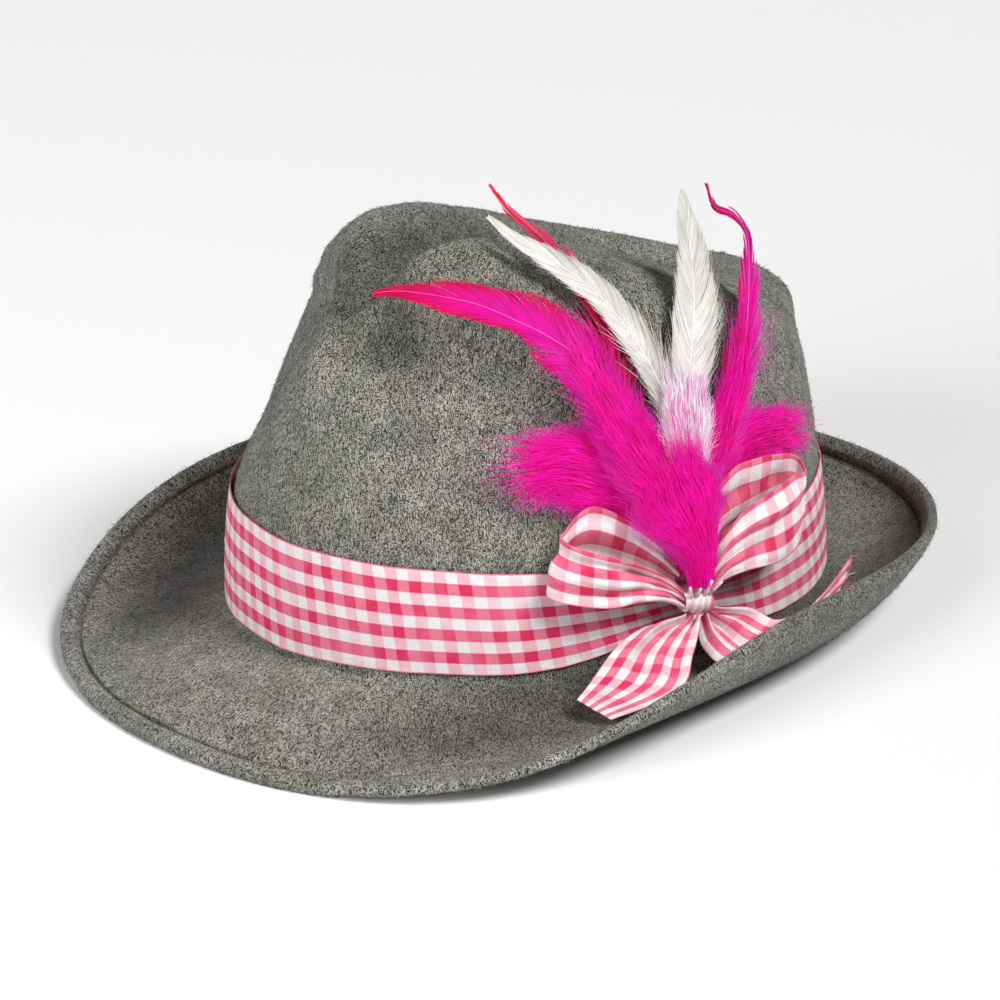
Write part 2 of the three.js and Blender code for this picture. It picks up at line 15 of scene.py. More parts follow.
import bpy
import numpy as np
from mathutils import Matrix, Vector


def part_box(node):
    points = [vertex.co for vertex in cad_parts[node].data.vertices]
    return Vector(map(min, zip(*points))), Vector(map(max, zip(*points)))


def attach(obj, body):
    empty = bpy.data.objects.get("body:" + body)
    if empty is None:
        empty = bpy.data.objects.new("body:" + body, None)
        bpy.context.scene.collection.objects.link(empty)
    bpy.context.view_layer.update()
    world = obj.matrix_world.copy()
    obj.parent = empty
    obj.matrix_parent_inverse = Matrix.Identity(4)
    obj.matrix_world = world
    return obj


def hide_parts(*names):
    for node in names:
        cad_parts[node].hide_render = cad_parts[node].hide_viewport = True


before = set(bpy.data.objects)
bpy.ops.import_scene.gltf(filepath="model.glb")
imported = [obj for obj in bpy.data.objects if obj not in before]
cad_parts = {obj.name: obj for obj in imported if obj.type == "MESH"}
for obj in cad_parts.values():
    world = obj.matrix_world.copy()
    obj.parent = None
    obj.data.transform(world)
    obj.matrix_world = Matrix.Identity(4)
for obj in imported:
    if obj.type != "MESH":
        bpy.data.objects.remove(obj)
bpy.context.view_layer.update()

log = logging.getLogger("hat")

DEGREES = math.pi / 180
MILLIMETRE = 0.001
BODY = "root"

Array = np.ndarray
Colour = tuple[float, float, float]
Span = tuple[float, float]
Material = bpy.types.Material
Node = bpy.types.Node
NodeTree = bpy.types.NodeTree
Piece = bpy.types.Object
Socket = bpy.types.NodeSocket


class Slot(Enum):
    """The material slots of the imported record."""

    FELT = "felt"
    GINGHAM = "gingham"
    PINK = "feather_pink"
    CRIMSON = "feather_crimson"
    WHITE = "feather_white"


def smooth(share: Array | float) -> Array:
    """Eases a share from 0 to 1 and holds it there outside."""
    c = np.clip(share, 0, 1)
    return c * c * (3 - 2 * c)


def rising(value: Array | float, start: Array | float, over: float) -> Array:
    """A share that is 0 up to a start and eases to 1 over a distance from there."""
    return smooth((value - start) / over)


def falling(value: Array | float, end: float, over: float) -> Array:
    """A share that eases to 0 over a distance and is 0 from an end on."""
    return smooth((end - value) / over)


def mix(first: Array | Colour | float, second: Array | Colour | float, share: Array | float) -> Array:
    """Goes from the first value to the second by a share."""
    return np.asarray(first) + (np.asarray(second) - first) * share


def unit(vectors: Array) -> Array:
    """Scales vectors to length 1."""
    return vectors / np.maximum(np.linalg.norm(vectors, axis=-1, keepdims=True), 1e-12)


def linear(red: int, green: int, blue: int) -> Colour:
    """Turns a screen colour, from 0 to 255, into the linear one that light and shaders use."""
    shares = (red / 255, green / 255, blue / 255)
    return tuple(c / 12.92 if c <= 0.04045 else ((c + 0.055) / 1.055) ** 2.4 for c in shares)


def curve_through(values: Array, place: Array) -> Array:
    """Reads a smooth curve through a column of numbers.

    Args:
        values: one number for each row of a table.
        place: where to read, counted in rows.

    Returns:
        The numbers at those places.
    """
    values = np.asarray(values, float)
    place = np.asarray(place, float)
    last = len(values) - 1
    low = np.clip(np.floor(place).astype(int), 0, last - 1)
    f = place - low
    p0, p1, p2, p3 = (values[np.clip(low + i, 0, last)] for i in (-1, 0, 1, 2))
    return p1 + 0.5 * f * (p2 - p0 + f * (2 * p0 - 5 * p1 + 4 * p2 - p3 + f * (3 * (p1 - p2) + p3 - p0)))


def around(stations: tuple[float, ...], angle: Array) -> Array:
    """Reads five stations from the front to the back, the same on both sides.

    Args:
        stations: the values at 0, 45, 90, 135 and 180 degrees.
        angle: where to read them.

    Returns:
        The values at those angles.
    """
    turn = np.abs((np.asarray(angle, float) + 180) % 360 - 180) / 45
    mirrored = (stations[1], *stations, stations[3])
    return curve_through(mirrored, turn + 1)


def line_through(points: Array, count: int) -> Array:
    """Draws a line through points that doesn't overshoot where they lie unevenly.

    Args:
        points: the points, a row each.
        count: how many points to return.

    Returns:
        Points along the line, as many to each span.
    """
    points = np.asarray(points, float)
    padded = np.vstack([2 * points[0] - points[1], points, 2 * points[-1] - points[-2]])
    spans = len(points) - 1
    place = np.linspace(0, spans, count)
    low = np.minimum(place.astype(int), spans - 1)
    t = (place - low)[:, None]
    p0, p1, p2, p3 = (padded[low + i] for i in range(4))
    gaps = [np.linalg.norm(b - a, axis=1, keepdims=True) ** 0.5 for a, b in ((p0, p1), (p1, p2), (p2, p3))]
    g1 = np.maximum(gaps[1], 1e-4)
    g0 = np.where(gaps[0] < 1e-4, g1, gaps[0])
    g2 = np.where(gaps[2] < 1e-4, g1, gaps[2])
    start = ((p1 - p0) / g0 - (p2 - p0) / (g0 + g1) + (p2 - p1) / g1) * g1
    end = ((p2 - p1) / g1 - (p3 - p1) / (g1 + g2) + (p3 - p2) / g2) * g1
    cubic = 2 * p1 - 2 * p2 + start + end
    square = -3 * p1 + 3 * p2 - 2 * start - end
    return p1 + t * (start + t * (square + t * cubic))


def ripple(place: Array, waves: tuple[float, ...], seed: int) -> Array:
    """Adds sine waves of so many waves a turn, with seeded phases, to values of about -1 to 1."""
    phases = np.random.default_rng(seed).uniform(0, 2 * math.pi, len(waves))
    return sum(np.sin(n * place + phase) for n, phase in zip(waves, phases)) / math.sqrt(len(waves))


@dataclass(frozen=True)
class HatForm:
    """The outside of the felt, and the places on it that the trimmings follow. Millimetres and degrees."""

    crown_length: float = 202
    crown_width: float = 174
    crown_height: float = 111
    crown_rake: float = 20
    crown_dome: float = 4
    front_lean: float = 22.5
    back_lean: float = 6
    side_lean: float = 19
    front_bend_power: float = 2.6
    back_bend_power: float = 1.5
    side_bend_power: float = 2.1
    shoulder_radius: float = 30
    shoulder_inset: tuple[float, ...] = (1.05, 1.5, 1.05, 0.98, 0.8)
    shoulder_drop: tuple[float, ...] = (0.8, 1.15, 0.46, 0.57, 0.3)
    crease_depth: float = 26
    crease_floor: float = 3
    crease_slope: float = 26
    crease_start: float = 28
    crease_rise: float = 25
    crease_end: float = 0.7
    crease_fade: float = 0.3
    crease_grow: float = 0.236
    crease_lean: float = 1.12
    pinch_depth: float = 19
    pinch_reach: float = 30
    pinch_along: float = -0.705
    pinch_up: float = 0.885
    pinch_spread_along: float = 0.183
    pinch_spread_up: float = 0.35
    pinch_inward: float = 0.93
    pinch_back: float = 0.36
    brim_width: float = 50
    brim_flat_share: float = 0.17
    brim_root: tuple[float, ...] = (-13, -21, -5, 6, 0)
    brim_lip: tuple[float, ...] = (-33, 8, 84, 58, 50)
    brim_widths: tuple[float, ...] = (1.0, 1.1, 0.9, 0.82, 0.84)
    bow_angle: float = 81
    bow_height: float = 21

    def side_height(self, angle: Array) -> Array:
        """Height at which the crown's side ends and its shoulder begins."""
        rim = self.crown_height + self.crown_rake * np.cos(np.asarray(angle) * DEGREES)
        return rim - around(self.shoulder_drop, angle) * self.shoulder_radius

    def side_oval(self, share: Array) -> tuple[Array, Array, Array]:
        """Measures the crown's side at a share of its height.

        Args:
            share: 0 at the foot, 1 at the shoulder, more straight on above it.

        Returns:
            Half the oval's length, half its width, and the place of its middle along Y.
        """
        def lean(size: float, power: float) -> Array:
            bent = np.clip(share, 0, 1) ** power
            return size * np.where(share <= 1, bent, 1 + power * (share - 1))

        front = lean(self.front_lean, self.front_bend_power)
        back = lean(self.back_lean, self.back_bend_power)
        half_width = self.crown_width / 2 - lean(self.side_lean, self.side_bend_power)
        return self.crown_length / 2 - (front + back) / 2, half_width, (front - back) / 2

    def crown_point(self, angle: Array, reach: Array) -> Array:
        """Finds points on the crown.

        Args:
            angle: around the hat.
            reach: 0 to 1 climbs the side, 1 to 2 the shoulder, 2 to 3 runs to the middle of the top.

        Returns:
            The points, in the last axis.
        """
        angle, reach = np.broadcast_arrays(np.asarray(angle, float), np.asarray(reach, float))
        t = angle * DEGREES
        side = np.clip(reach, 0, 1)
        bend = np.clip(reach - 1, 0, 1) * math.pi / 2
        inward = np.clip(reach - 2, 0, 1)
        half_long, half_wide, middle = self.side_oval(side)
        inset = around(self.shoulder_inset, angle) * self.shoulder_radius * (1 - np.cos(bend))
        drop = around(self.shoulder_drop, angle) * self.shoulder_radius
        x = (half_wide - inset) * np.sin(t) * (1 - inward)
        y = middle - (half_long - inset) * np.cos(t) * (1 - inward)
        z = self.side_height(angle) * side + drop * np.sin(bend)
        z = mix(z, self.crown_height + self.crown_dome, smooth(inward))

        half = self.crown_length / 2
        centre = self.side_oval(np.asarray(1.0))[2]
        tilt = self.crown_rake * self.crease_lean * (centre - y) / half
        start = self.crown_height - self.crease_start + tilt
        near_top = rising(z, start, self.crease_rise)
        along = falling(y / half, self.crease_end, self.crease_fade) * (1 - self.crease_grow * y / half)
        across = 1 - rising(np.abs(x), self.crease_floor, self.crease_slope)
        z = z - self.crease_depth * across * along * near_top

        away = ((y / half - self.pinch_along) / self.pinch_spread_along) ** 2
        away = away + ((z / self.crown_height - self.pinch_up) / self.pinch_spread_up) ** 2
        weight = self.pinch_depth * np.exp(-away) * np.tanh(np.abs(x) / self.pinch_reach)
        return np.stack([x - np.sign(x) * self.pinch_inward * weight, y + self.pinch_back * weight, z], -1)

    def crown_normal(self, angle: Array, reach: Array) -> Array:
        """Outward directions at points on the crown."""
        step = 0.02
        low = self.crown_point(angle, np.maximum(reach - step, 0))
        high = self.crown_point(angle, np.minimum(reach + step, 2.98))
        across = self.crown_point(angle + 1, reach) - self.crown_point(angle - 1, reach)
        return unit(np.cross(across, high - low))

    def brim_place(self, angle: Array, share: Array) -> tuple[Array, Array]:
        """Finds points on the brim's upper side.

        Args:
            angle: around the hat.
            share: how far out, as a share of the brim's width.

        Returns:
            The points and their upward normals.
        """
        angle, share = np.broadcast_arrays(np.asarray(angle, float), np.asarray(share, float))
        root = around(self.brim_root, angle) * DEGREES
        lip = around(self.brim_lip, angle) * DEGREES
        width = around(self.brim_widths, angle) * self.brim_width

        def slope_at(at: Array) -> Array:
            return mix(root, lip, rising(at, self.brim_flat_share, 1 - self.brim_flat_share))

        steps = 24
        out = np.zeros_like(share)
        rise = np.zeros_like(share)
        for i in range(steps):
            slope = slope_at(share * (i + 0.5) / steps)
            out += np.cos(slope) * width * share / steps
            rise += np.sin(slope) * width * share / steps
        t = angle * DEGREES
        flat = unit(np.stack([np.sin(t) / (self.crown_width / 2), -np.cos(t) / (self.crown_length / 2)], -1))
        slope = slope_at(share)
        x = self.crown_width / 2 * np.sin(t) + flat[..., 0] * out
        y = -self.crown_length / 2 * np.cos(t) + flat[..., 1] * out
        normal = np.stack([-np.sin(slope) * flat[..., 0], -np.sin(slope) * flat[..., 1], np.cos(slope)], -1)
        return np.stack([x, y, rise], -1), normal

    def brim_point(self, angle: Array, share: Array, lift: Array) -> Array:
        """Points over the brim, lifted off its upper side."""
        point, normal = self.brim_place(angle, share)
        return point + normal * np.asarray(lift, float)[..., None]

    def side_point(self, angle: Array, height: Array, lift: Array) -> Array:
        """Finds points over the crown's side, before the shoulder turns in.

        Args:
            angle: around the hat.
            height: over the foot of the crown.
            lift: off the felt.

        Returns:
            The points, in the last axis.
        """
        angle, height, lift = np.broadcast_arrays(*(np.asarray(v, float) for v in (angle, height, lift)))
        t = angle * DEGREES
        side = self.side_height(angle)
        share = height / side
        half_long, half_wide, middle = self.side_oval(share)
        tilt = np.arctan2(half_wide - self.side_oval(share + 0.01)[1], 0.01 * side)
        flat = unit(np.stack([np.sin(t) / half_wide, -np.cos(t) / half_long], -1))
        normal = np.concatenate([flat * np.cos(tilt)[..., None], np.sin(tilt)[..., None]], -1)
        point = np.stack([half_wide * np.sin(t), middle - half_long * np.cos(t), height], -1)
        return point + normal * lift[..., None]

    def arc_per_degree(self) -> float:
        """Length of one degree around the hat at the bow's middle."""
        ends = [self.side_point(self.bow_angle + turn, self.bow_height, 0) for turn in (0.5, -0.5)]
        return float(np.linalg.norm(ends[0] - ends[1]))

    def bow_point(self, along: Array, up: Array, out: Array) -> Array:
        """Places by millimetres along the band from the bow's middle, over it, and off the crown."""
        return self.side_point(self.bow_angle + along / self.arc_per_degree(), self.bow_height + up, out)


@dataclass(frozen=True)
class Rest:
    """How the hat is tipped and moved from its own frame to the floor."""

    pitch: float
    lift: float
    shift: float

    def turn(self, vectors: Array) -> Array:
        """Vectors of the hat's own frame, tipped as it rests."""
        sin, cos = math.sin(self.pitch), math.cos(self.pitch)
        x, y, z = np.moveaxis(np.asarray(vectors, float), -1, 0)
        return np.stack([x, y * cos - z * sin, y * sin + z * cos], -1)

    def place(self, points: Array) -> Array:
        """Points of the hat's own frame, at rest on the floor, still in millimetres."""
        return self.turn(points) + np.array([0, self.shift, self.lift])


@dataclass
class Skin:
    """A mesh in the making.

    Attributes:
        points: its points, in millimetres in the hat's own frame.
        faces: four or three point numbers for each face.
        place: two lengths in millimetres for each point, along and across the cloth.
        dye: a linear colour for each point; on the felt it is only painted shade, and on the nap and the down
            it also holds painted shade.
        turn: the length of one turn, where the cloth closes on itself.
    """

    points: Array
    faces: list[Array]
    place: Array | None = None
    dye: Array | None = None
    turn: float | None = None

    @staticmethod
    def grid(points: Array, closed: bool = False) -> Array:
        """Joins rows of points into quads.

        Args:
            points: the rows, as rows by columns by three.
            closed: whether the last column meets the first.

        Returns:
            The quads.
        """
        rows, columns = points.shape[:2]
        number = np.arange(rows * columns).reshape(rows, columns)
        if closed:
            number = np.hstack([number, number[:, :1]])
        a, b = number[:-1, :-1], number[:-1, 1:]
        c, d = number[1:, 1:], number[1:, :-1]
        return np.stack([a, b, c, d], -1).reshape(-1, 4)

    @staticmethod
    def body(rings: Array, first: Array, last: Array) -> tuple[Array, list[Array]]:
        """Joins rings of points into a closed body.

        Args:
            rings: the rings, as rings by points by three.
            first: the point that closes the first ring.
            last: the point that closes the last ring.

        Returns:
            All its points, and its faces.
        """
        count, sides = rings.shape[0] * rings.shape[1], rings.shape[1]
        near = np.arange(sides)
        following = (near + 1) % sides
        far = count - sides
        fans = np.vstack([np.stack([np.full(sides, count), following, near], -1),
                          np.stack([np.full(sides, count + 1), far + near, far + following], -1)])
        return np.vstack([rings.reshape(-1, 3), first, last]), [Skin.grid(rings, closed=True), fans]

    @staticmethod
    def lids(rows: int, columns: int, facing: int) -> list[Array]:
        """Closes both ends of a flat tube.

        Args:
            rows: how many rings it has.
            columns: how many points each ring has.
            facing: the point that lies opposite a ring's first.

        Returns:
            The quads of each end.
        """
        ends = []
        for row in (0, rows - 1):
            i = row * columns + np.arange(facing // 2)
            j = row * columns + facing - np.arange(facing // 2)
            end = np.stack([i, i + 1, j - 1, j], -1)
            ends.append(end[:, ::-1] if row else end)
        return ends

    def build(self, name: str, rest: Rest, material: Material, slot: Slot) -> Piece:
        """Makes the object, at rest on the floor, riding on the hat's body.

        Args:
            name: the piece's name.
            rest: how the hat stands.
            material: its finish.
            slot: the record's slot for that finish; not used.

        Returns:
            The new object.
        """
        placed = rest.place(self.points) * MILLIMETRE
        placed[:, 2] = np.maximum(placed[:, 2], 0)
        counts = np.concatenate([np.full(len(f), f.shape[1]) for f in self.faces])
        corners = np.concatenate([f.ravel() for f in self.faces])
        starts = np.concatenate([[0], np.cumsum(counts)[:-1]])
        mesh = bpy.data.meshes.new(name)
        mesh.vertices.add(len(placed))
        mesh.loops.add(len(corners))
        mesh.polygons.add(len(counts))
        mesh.vertices.foreach_set("co", placed.astype(np.float32).ravel())
        mesh.loops.foreach_set("vertex_index", corners.astype(np.int32))
        mesh.polygons.foreach_set("loop_start", starts.astype(np.int32))
        mesh.polygons.foreach_set("loop_total", counts.astype(np.int32))
        mesh.update(calc_edges=True)
        if self.place is not None:
            layer = mesh.uv_layers.new(name="cloth")
            lengths = self.place[corners]
            if self.turn is not None:
                furthest = np.repeat(np.maximum.reduceat(lengths[:, 0], starts), counts)
                lengths[:, 0] += np.where(furthest - lengths[:, 0] > self.turn / 2, self.turn, 0)
            layer.data.foreach_set("uv", lengths.astype(np.float32).ravel())
        if self.dye is not None:
            layer = mesh.color_attributes.new(name="dye", type="FLOAT_COLOR", domain="POINT")
            rgba = np.hstack([self.dye, np.ones((len(self.dye), 1))])
            layer.data.foreach_set("color", rgba.astype(np.float32).ravel())
        mesh.validate()
        mesh.shade_smooth()
        mesh.materials.append(material)
        piece = bpy.data.objects.new(name, mesh)
        bpy.context.scene.collection.objects.link(piece)
        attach(piece, BODY)
        log.info("%s: %d points, %d triangles", name, len(placed), (counts - 2).sum())
        return piece


def joined(skins: list[Skin]) -> Skin:
    """Puts several skins into one.

    Args:
        skins: the skins, which all have a place or a dye if the first has.

    Returns:
        One skin with all their points and faces.
    """
    faces, first = [], 0
    for skin in skins:
        faces += [f + first for f in skin.faces]
        first += len(skin.points)
    points = np.vstack([s.points for s in skins])
    place = None if skins[0].place is None else np.vstack([s.place for s in skins])
    dye = None if skins[0].dye is None else np.vstack([s.dye for s in skins])
    return Skin(points, faces, place, dye)


def strands(paths: Array, sideways: Array, widths: Array, dye: Array) -> Skin:
    """Makes a flat strip along each path.

    Args:
        paths: the paths, as strands by points by three.
        sideways: the direction of each strip's width, in the same shape.
        widths: its width at each point.
        dye: its linear colour at each point.

    Returns:
        All the strips as one skin.
    """
    count, steps = paths.shape[:2]
    half = sideways * widths[..., None] / 2
    points = np.stack([paths - half, paths + half], 2)
    number = np.arange(count * steps * 2).reshape(count, steps, 2)
    a, b = number[:, :-1, 0], number[:, :-1, 1]
    c, d = number[:, 1:, 1], number[:, 1:, 0]
    quads = np.stack([a, b, c, d], -1).reshape(-1, 4)
    colours = np.repeat(dye[:, :, None, :], 2, axis=2)
    return Skin(points.reshape(-1, 3), [quads], None, colours.reshape(-1, 3))


def tube(path: Array, radii: Array, colour: Colour, sides: int = 6) -> Skin:
    """Makes a round rod with closed ends along a path.

    Args:
        path: the points along its middle.
        radii: its radius at each.
        colour: its linear colour.
        sides: how many sides it has.

    Returns:
        The rod.
    """
    ahead = unit(np.gradient(path, axis=0))
    guide = np.where(np.abs(ahead[:, 2:3]) < 0.9, np.array([[0.0, 0, 1]]), np.array([[1.0, 0, 0]]))
    first = unit(np.cross(ahead, guide))
    second = np.cross(ahead, first)
    turn = np.linspace(0, 2 * math.pi, sides, endpoint=False)
    rings = (path[:, None] + first[:, None] * (np.cos(turn)[:, None] * radii[:, None, None])
             + second[:, None] * (np.sin(turn)[:, None] * radii[:, None, None]))
    points, faces = Skin.body(rings, path[0], path[-1])
    return Skin(points, faces, None, np.tile(colour, (len(points), 1)))


class Graph:
    """Places and joins the nodes of one shader tree."""

    def __init__(self, tree: NodeTree) -> None:
        """Starts on a tree and empties it."""
        self.tree = tree
        tree.nodes.clear()

    def node(self, kind: str, feeds: dict[str | int, object] | None = None, **settings: object) -> Node:
        """Adds a node.

        Args:
            kind: its type.
            feeds: a number, a colour or another node's output for each input by name or place.
            settings: its own settings.

        Returns:
            The node.
        """
        node = self.tree.nodes.new(kind)
        for name, value in settings.items():
            setattr(node, name, value)
        for name, value in (feeds or {}).items():
            self.feed(node.inputs[name], value)
        return node

    def feed(self, socket: Socket, value: object) -> None:
        """Joins an output to a socket, or sets the socket to a number or colour."""
        if isinstance(value, Socket):
            self.tree.links.new(value, socket)
        else:
            socket.default_value = value

    def math(self, operation: str, first: object, second: object = 0.0) -> Socket:
        """Works out one sum of two numbers."""
        return self.node("ShaderNodeMath", {0: first, 1: second}, operation=operation).outputs[0]

    def plus(self, first: object, second: object) -> Socket:
        """Adds two numbers."""
        return self.math("ADD", first, second)

    def less(self, first: object, second: object) -> Socket:
        """Takes the second number from the first."""
        return self.math("SUBTRACT", first, second)

    def times(self, first: object, second: object) -> Socket:
        """Multiplies two numbers."""
        return self.math("MULTIPLY", first, second)

    def over(self, first: object, second: object) -> Socket:
        """Divides the first number by the second."""
        return self.math("DIVIDE", first, second)

    def scaled(self, vector: object, factor: object) -> Socket:
        """Multiplies a colour or vector by a number."""
        return self.node("ShaderNodeVectorMath", {0: vector, 3: factor}, operation="SCALE").outputs[0]

    def blend(self, share: object, first: object, second: object, kind: str = "MIX") -> Socket:
        """Mixes two colours by a share."""
        node = self.node("ShaderNodeMix", {0: share, 6: first, 7: second}, data_type="RGBA", blend_type=kind)
        return node.outputs[2]

    def ramp(self, value: object, low: float, high: float, start: float = 0, end: float = 1) -> Socket:
        """Eases a number between two limits into another range."""
        feeds = {0: value, 1: low, 2: high, 3: start, 4: end}
        return self.node("ShaderNodeMapRange", feeds, interpolation_type="SMOOTHSTEP").outputs[0]

    def noise(self, vector: object, scale: object, detail: float = 2, roughness: float = 0.6) -> Socket:
        """Reads a soft noise at a place."""
        feeds = {"Vector": vector, "Scale": scale, "Detail": detail, "Roughness": roughness}
        return self.node("ShaderNodeTexNoise", feeds).outputs["Fac"]

    def stretched(self, vector: object, scale: tuple[float, float, float]) -> Socket:
        """Scales a vector by a number each way."""
        return self.node("ShaderNodeMapping", {"Vector": vector, "Scale": scale}).outputs[0]


class Effect:
    """Shader groups that several finishes share, each built once."""

    @staticmethod
    def start(name: str, inputs: dict[str, float | Colour], outputs: tuple[str, ...]) -> Graph:
        """Starts a group with named sockets.

        Args:
            name: the group's name.
            inputs: a number or a colour for each input.
            outputs: its outputs, of which Color is a colour and the others are numbers.

        Returns:
            The graph, with a node named In and a node named Out.
        """
        graph = Graph(bpy.data.node_groups.new(name, "ShaderNodeTree"))
        sockets = graph.tree.interface
        for label, value in inputs.items():
            colour = isinstance(value, tuple)
            kind = "NodeSocketColor" if colour else "NodeSocketFloat"
            socket = sockets.new_socket(label, in_out="INPUT", socket_type=kind)
            socket.default_value = Finish.rgba(value) if colour else value
        for label in outputs:
            kind = "NodeSocketColor" if label == "Color" else "NodeSocketFloat"
            sockets.new_socket(label, in_out="OUTPUT", socket_type=kind)
        graph.node("NodeGroupInput", name="In")
        graph.node("NodeGroupOutput", name="Out")
        return graph

    @staticmethod
    def finish(graph: Graph, **values: Socket) -> NodeTree:
        """Feeds a group's outputs and hands the group over."""
        for label, value in values.items():
            graph.feed(graph.tree.nodes["Out"].inputs[label], value)
        return graph.tree

    @staticmethod
    @cache
    def melange() -> NodeTree:
        """Salt-and-pepper wool: light and dark fibres, drawn out along the nap.

        Returns:
            The group, which puts out a colour and a height.
        """
        graph = Effect.start("melange wool", {
            "Grain": 0.5, "Nap length": 1.6, "Nap share": 0.4, "Contrast": 1.0,
            "Dark": (0.02, 0.02, 0.02), "Light": (0.6, 0.6, 0.6), "Tint": (0.2, 0.2, 0.15),
        }, ("Color", "Height"))
        given = graph.tree.nodes["In"].outputs
        where = graph.node("ShaderNodeTexCoord").outputs["Object"]
        cloth = graph.node("ShaderNodeUVMap", uv_map="cloth").outputs[0]
        per_metre = graph.over(1 / MILLIMETRE, given["Grain"])
        fine = graph.noise(where, per_metre, 1.5, 0.7)
        clumps = graph.noise(where, graph.times(per_metre, 0.33), 2, 0.6)
        squeeze = graph.node("ShaderNodeCombineXYZ", {
            0: graph.over(1.0, graph.times(given["Grain"], 0.8)),
            1: graph.over(1.0, given["Nap length"]), 2: 1.0})
        drawn = graph.node("ShaderNodeVectorMath", {0: cloth, 1: squeeze.outputs[0]}, operation="MULTIPLY")
        waver = graph.times(graph.noise(cloth, 0.35, 1, 0.5), 6.0)
        bent = graph.node("ShaderNodeVectorMath", {0: drawn.outputs[0], 1: waver}, operation="ADD")
        nap = graph.noise(bent.outputs[0], 1.0, 2, 0.6)
        feeds = {0: given["Nap share"], 2: fine, 3: nap}
        grains = graph.node("ShaderNodeMix", feeds, data_type="FLOAT").outputs[0]
        mixed = graph.plus(graph.times(grains, 0.88), graph.times(clumps, 0.12))
        share = graph.ramp(graph.times(graph.less(mixed, 0.5), given["Contrast"]), -0.16, 0.17)
        blotch = graph.noise(where, 38, 3, 0.6)
        base = graph.blend(share, given["Dark"], given["Light"])
        tinted = graph.blend(graph.ramp(blotch, 0.42, 0.62, 0, 0.45), base,
                             graph.blend(1.0, base, given["Tint"], "MULTIPLY"))
        patches = graph.ramp(graph.noise(where, 110, 2, 0.5), 0.3, 0.7, 0.8, 1.16)
        return Effect.finish(graph, Color=graph.scaled(tinted, patches), Height=mixed)

    @staticmethod
    @cache
    def gingham() -> NodeTree:
        """Woven checks by the lengths along and across a ribbon, with threads and a woven edge.

        Returns:
            The group, which puts out a colour and a height.
        """
        white = (1, 1, 1)
        graph = Effect.start("gingham weave", {
            "Row": 4.22, "Column": 4.15, "Lean": 0.0, "Ribbon": 38.0, "Thread": 0.3,
            "White": white, "Pale": white, "Medium": white, "Strong": white,
        }, ("Color", "Height"))
        given = graph.tree.nodes["In"].outputs
        cloth = graph.node("ShaderNodeUVMap", uv_map="cloth").outputs[0]
        wander = graph.noise(cloth, 0.12, 1, 0.5)
        split = graph.node("ShaderNodeSeparateXYZ", {0: cloth})
        across = split.outputs[1]
        along = graph.plus(split.outputs[0], graph.times(across, given["Lean"]))
        along = graph.plus(along, graph.times(wander, 1.4))

        def wave(place: object, period: object) -> Socket:
            return graph.math("SINE", graph.over(graph.times(place, 2 * math.pi), period))

        row = graph.ramp(wave(across, graph.times(given["Row"], 2.0)), 0.08, -0.08)
        column = graph.ramp(wave(along, graph.times(given["Column"], 2.0)), -0.09, 0.09)
        fading = graph.noise(graph.stretched(cloth, (0.05, 0.02, 1)), 1.0, 2, 0.5)
        column = graph.times(column, graph.ramp(fading, 0.36, 0.6, 0.35, 1.0))
        light_row = graph.blend(column, given["White"], given["Pale"])
        pink_row = graph.blend(column, given["Medium"], given["Strong"])
        checks = graph.blend(row, light_row, pink_row)

        half_tone = graph.less(graph.plus(row, column), graph.times(graph.times(row, column), 2.0))
        twill = wave(graph.plus(along, across), graph.times(given["Thread"], 2.4))
        lines = graph.times(graph.times(twill, half_tone), 0.42)
        lit = graph.blend(graph.math("MAXIMUM", lines, 0.0), checks, given["White"])
        lined = graph.blend(graph.math("MAXIMUM", graph.times(lines, -1.0), 0.0), lit, given["Strong"])

        warp = graph.noise(graph.stretched(cloth, (0.25, 4.0, 1)), 1.0, 2, 0.6)
        weft = graph.noise(graph.stretched(cloth, (4.0, 0.25, 1)), 1.0, 2, 0.6)
        slub = graph.ramp(graph.plus(warp, weft), 0.75, 1.25, 0.9, 1.07)
        woven = graph.scaled(lined, slub)

        edge = graph.ramp(graph.math("MINIMUM", across, graph.less(given["Ribbon"], across)), 0.55, 0.3)
        edged = graph.blend(graph.times(edge, 0.75), woven, given["Medium"])
        thread = graph.times(given["Thread"], 2.0)
        threads = graph.times(wave(along, thread), wave(across, thread))
        return Effect.finish(graph, Color=edged, Height=graph.plus(graph.times(threads, 0.5), slub))

    @staticmethod
    @cache
    def dyed() -> NodeTree:
        """The dye of barbs and fibres, uneven from one to the next; on the nap and the down the dye also
        holds painted shade.

        Returns:
            The group, which puts out a colour and a roughness.
        """
        graph = Effect.start("dyed fibre", {"Unevenness": 0.2, "Fibre": 0.4}, ("Color", "Roughness"))
        given = graph.tree.nodes["In"].outputs
        dye = graph.node("ShaderNodeAttribute", attribute_name="dye").outputs["Color"]
        where = graph.node("ShaderNodeTexCoord").outputs["Object"]
        fine = graph.noise(where, graph.over(1 / MILLIMETRE, given["Fibre"]), 2, 0.6)
        wide = graph.noise(where, 160, 2, 0.5)
        swing = graph.plus(graph.less(fine, 0.5), graph.less(wide, 0.5))
        factor = graph.plus(1.0, graph.times(swing, graph.times(given["Unevenness"], 2.0)))
        return Effect.finish(graph, Color=graph.scaled(dye, factor),
                             Roughness=graph.ramp(fine, 0.3, 0.7, 0.42, 0.66))


